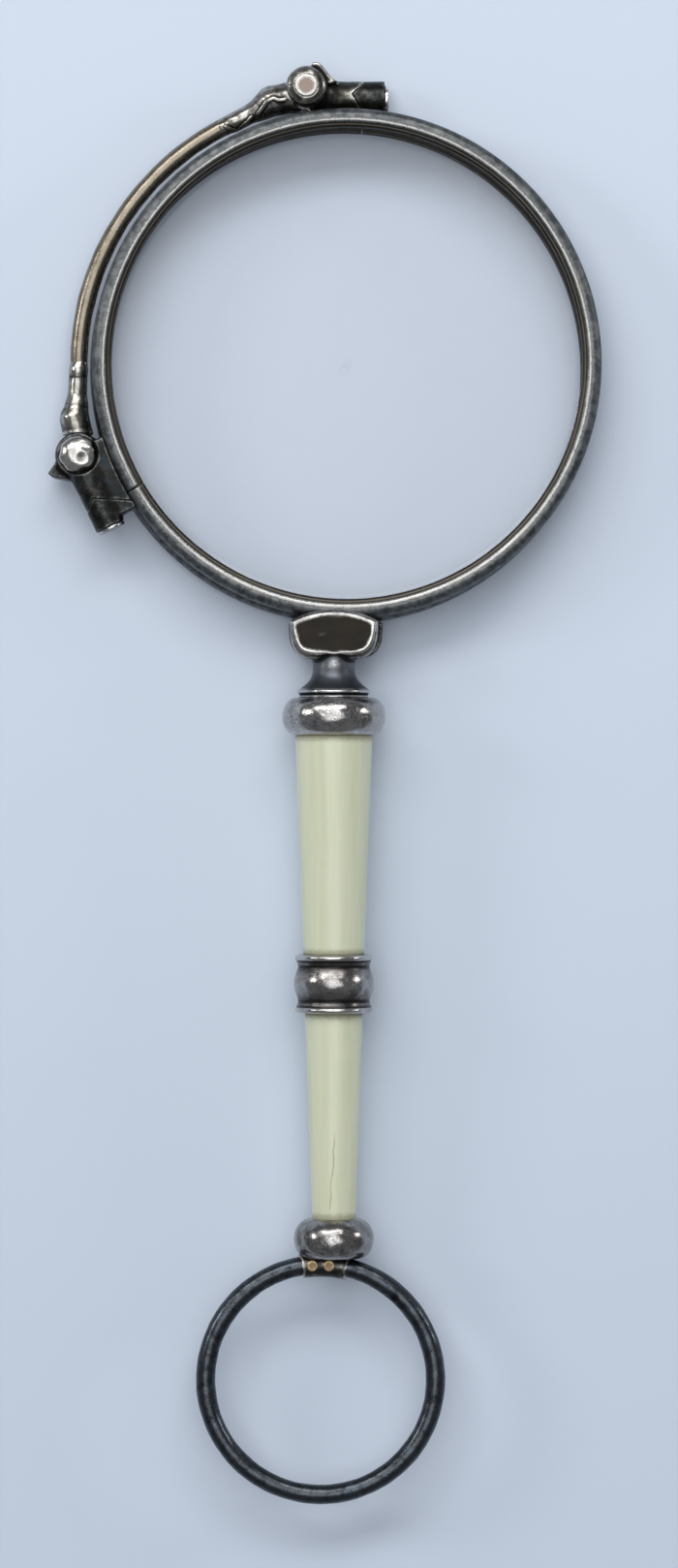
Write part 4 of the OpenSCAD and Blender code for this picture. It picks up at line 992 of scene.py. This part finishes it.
def foot_bead_field(p):
    u, s = p[0] - AXIS_X, RIM_Y - p[1]
    out = reach(u, p[2] - AXIS_Z)
    side = bead_line(LOWER_GRIP_END, FOOT_LEN, 0.53 * FOOT_LEN, FOOT_BEAD_R, GRIP_FOOT_R + 0.1, 2.1)
    body = outline(s, out, [(LOWER_GRIP_END, -1)] + side + [(FOOT_END, -1)])
    body = body + 0.012 * waves(p, 1.5, 91)
    body = carve(body, np.maximum(out - GRIP_FOOT_R - 0.03, s - LOWER_GRIP_END - DISH_D), 0.03)
    body = carve(body, np.maximum(out - BORE, s - FOOT_END + 0.65), 0.03)
    wire = reach(reach(p[0] - RING_X, RIM_Y - RING_S - p[1]) - RING_R, p[2] - AXIS_Z) - RING_WIRE - 0.22
    return carve(body, wire, 0.04)


cast("foot_bead_turned", foot_bead_field, 0.08, "handle",
     BEAD_SILVER, ["lower_bead"])


# --- finger ring

def ring_section(a):
    k = 1 + 0.012 * math.sin(8 * a + 1) + 0.01 * math.sin(19 * a + 2) + 0.008 * math.sin(43 * a)
    t = np.linspace(0, 2 * math.pi, 48, endpoint=False)
    r = (RING_WIRE - 0.015) * k
    return np.stack([RING_R + r * np.cos(t), AXIS_Z + r * np.sin(t)], 1)


RING_CENTRE = (RING_X, RIM_Y - RING_S)
points, faces = hoop(ring_section, RING_CENTRE, 420)
piece("finger_ring_worn", points, faces, "handle", RING_SILVER, ["finger_ring"], 6)


def strap_field(p):
    dx, dy = p[0] - RING_CENTRE[0], p[1] - RING_CENTRE[1]
    wire = reach(reach(dx, dy) - RING_R, p[2] - AXIS_Z)
    angle = np.degrees(np.arctan2(dy, dx))
    ragged = 0.9 * np.sin(p[2] * 5.1 + 1) + 0.6 * np.sin(reach(dx, dy) * 9 + p[2] * 3)
    ends = between(angle, 76.6 + ragged * 0.5, 99.4 - ragged * 0.4) * RING_R * math.pi / 180
    shell = np.maximum(wire - RING_WIRE - 0.2, RING_WIRE + 0.01 - wire)
    return common(shell, ends, 0.05) + 0.008 * waves(p, 0.8, 95)


cast("ring_strap_bent", strap_field, FINE_CELL, "handle", KNUCKLE_SILVER, ["ring_strap"], grow=0.2)


def ring_rivets_field(p):
    best = None
    for angle in (94.1, 85.8):
        a = math.radians(angle)
        x, y = RING_CENTRE[0] + RING_R * math.cos(a), RING_CENTRE[1] + RING_R * math.sin(a)
        one = puck(p, x, y, 0.46, AXIS_Z - 1.06, AXIS_Z + 1.06, 0.06) + 0.006 * waves(p, 0.5, 97)
        best = one if best is None else np.minimum(best, one)
    return best


cast("ring_rivets_brass", ring_rivets_field, FINE_CELL, "handle", BRASS, ["ring_rivets"], grow=0.2)

# Small steel parts inside keep their CAD meshes and get their finish
for name in ("lower_hinge_spring", "upper_hinge_spring", "catch_spring", "catch_pin", "tang_rod"):
    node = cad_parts[name]
    node.data.materials.clear()
    node.data.materials.append(STEEL)


# --- floor, light and camera

def make_floor():
    mesh = bpy.data.meshes.new("floor")
    half, z = 2.5, -0.0001
    mesh.from_pydata([(-half, -half, z), (half, -half, z), (half, half, z), (-half, half, z)], [], [(0, 1, 2, 3)])
    material, tree, place = start_material("pale_paper_painted_light")
    x, y, z = split(tree, place)
    fibre = noise(tree, place, 1.2, 3)
    # Painted light: the floor colour runs lighter towards the top (+y) and darker towards the bottom, standing in for
    # light falling off across the floor.
    colour = y.between(-0.07, 0.07).tint((0.56, 0.63, 0.74), (0.62, 0.69, 0.80))
    mesh.materials.append(finish_material(material, tree, fibre, 0.05, 0.00002, Base_Color=colour, Roughness=0.75,
                                          Specular_IOR_Level=0.2))
    obj = add_object("floor", mesh)


def area_light(name, place, size, power, colour):
    """A lamp sheet of that size that faces the middle of the part."""
    light = bpy.data.lights.new(name, "AREA")
    light.shape, light.size, light.size_y = "RECTANGLE", size[0], size[1]
    light.energy, light.color = power, colour
    obj = add_object(name, light)
    obj.location = place
    obj.rotation_euler = (-Vector(place)).to_track_quat("-Z", "Y").to_euler()


make_floor()
area_light("overhead_sheet", (-0.05, 0.12, 1.0), (0.80, 0.80), 4.0, (0.98, 0.99, 1.0))
area_light("top_window", (-0.08, 0.45, 0.52), (0.80, 0.22), 2.7, (1.0, 0.99, 0.98))
area_light("left_window", (-0.58, 0.20, 0.30), (0.16, 0.16), 0.75, (1.0, 0.99, 0.97))
area_light("right_window", (0.60, 0.20, 0.18), (0.12, 0.12), 0.5, (1.0, 0.99, 0.98))

world = bpy.data.worlds.new("studio")
bpy.context.scene.world = world
world.use_nodes = True
background = world.node_tree.nodes["Background"]
background.inputs["Color"].default_value = (0.42, 0.44, 0.47, 1)
background.inputs["Strength"].default_value = 0.5

camera = bpy.data.cameras.new("camera")
camera.lens = 128.4
camera.clip_start, camera.clip_end = 0.01, 20
eye = add_object("camera", camera)
eye.location = (0.00113, -0.00008, 0.4545)
bpy.context.scene.camera = eye
bpy.context.scene.view_settings.view_transform = "Standard"
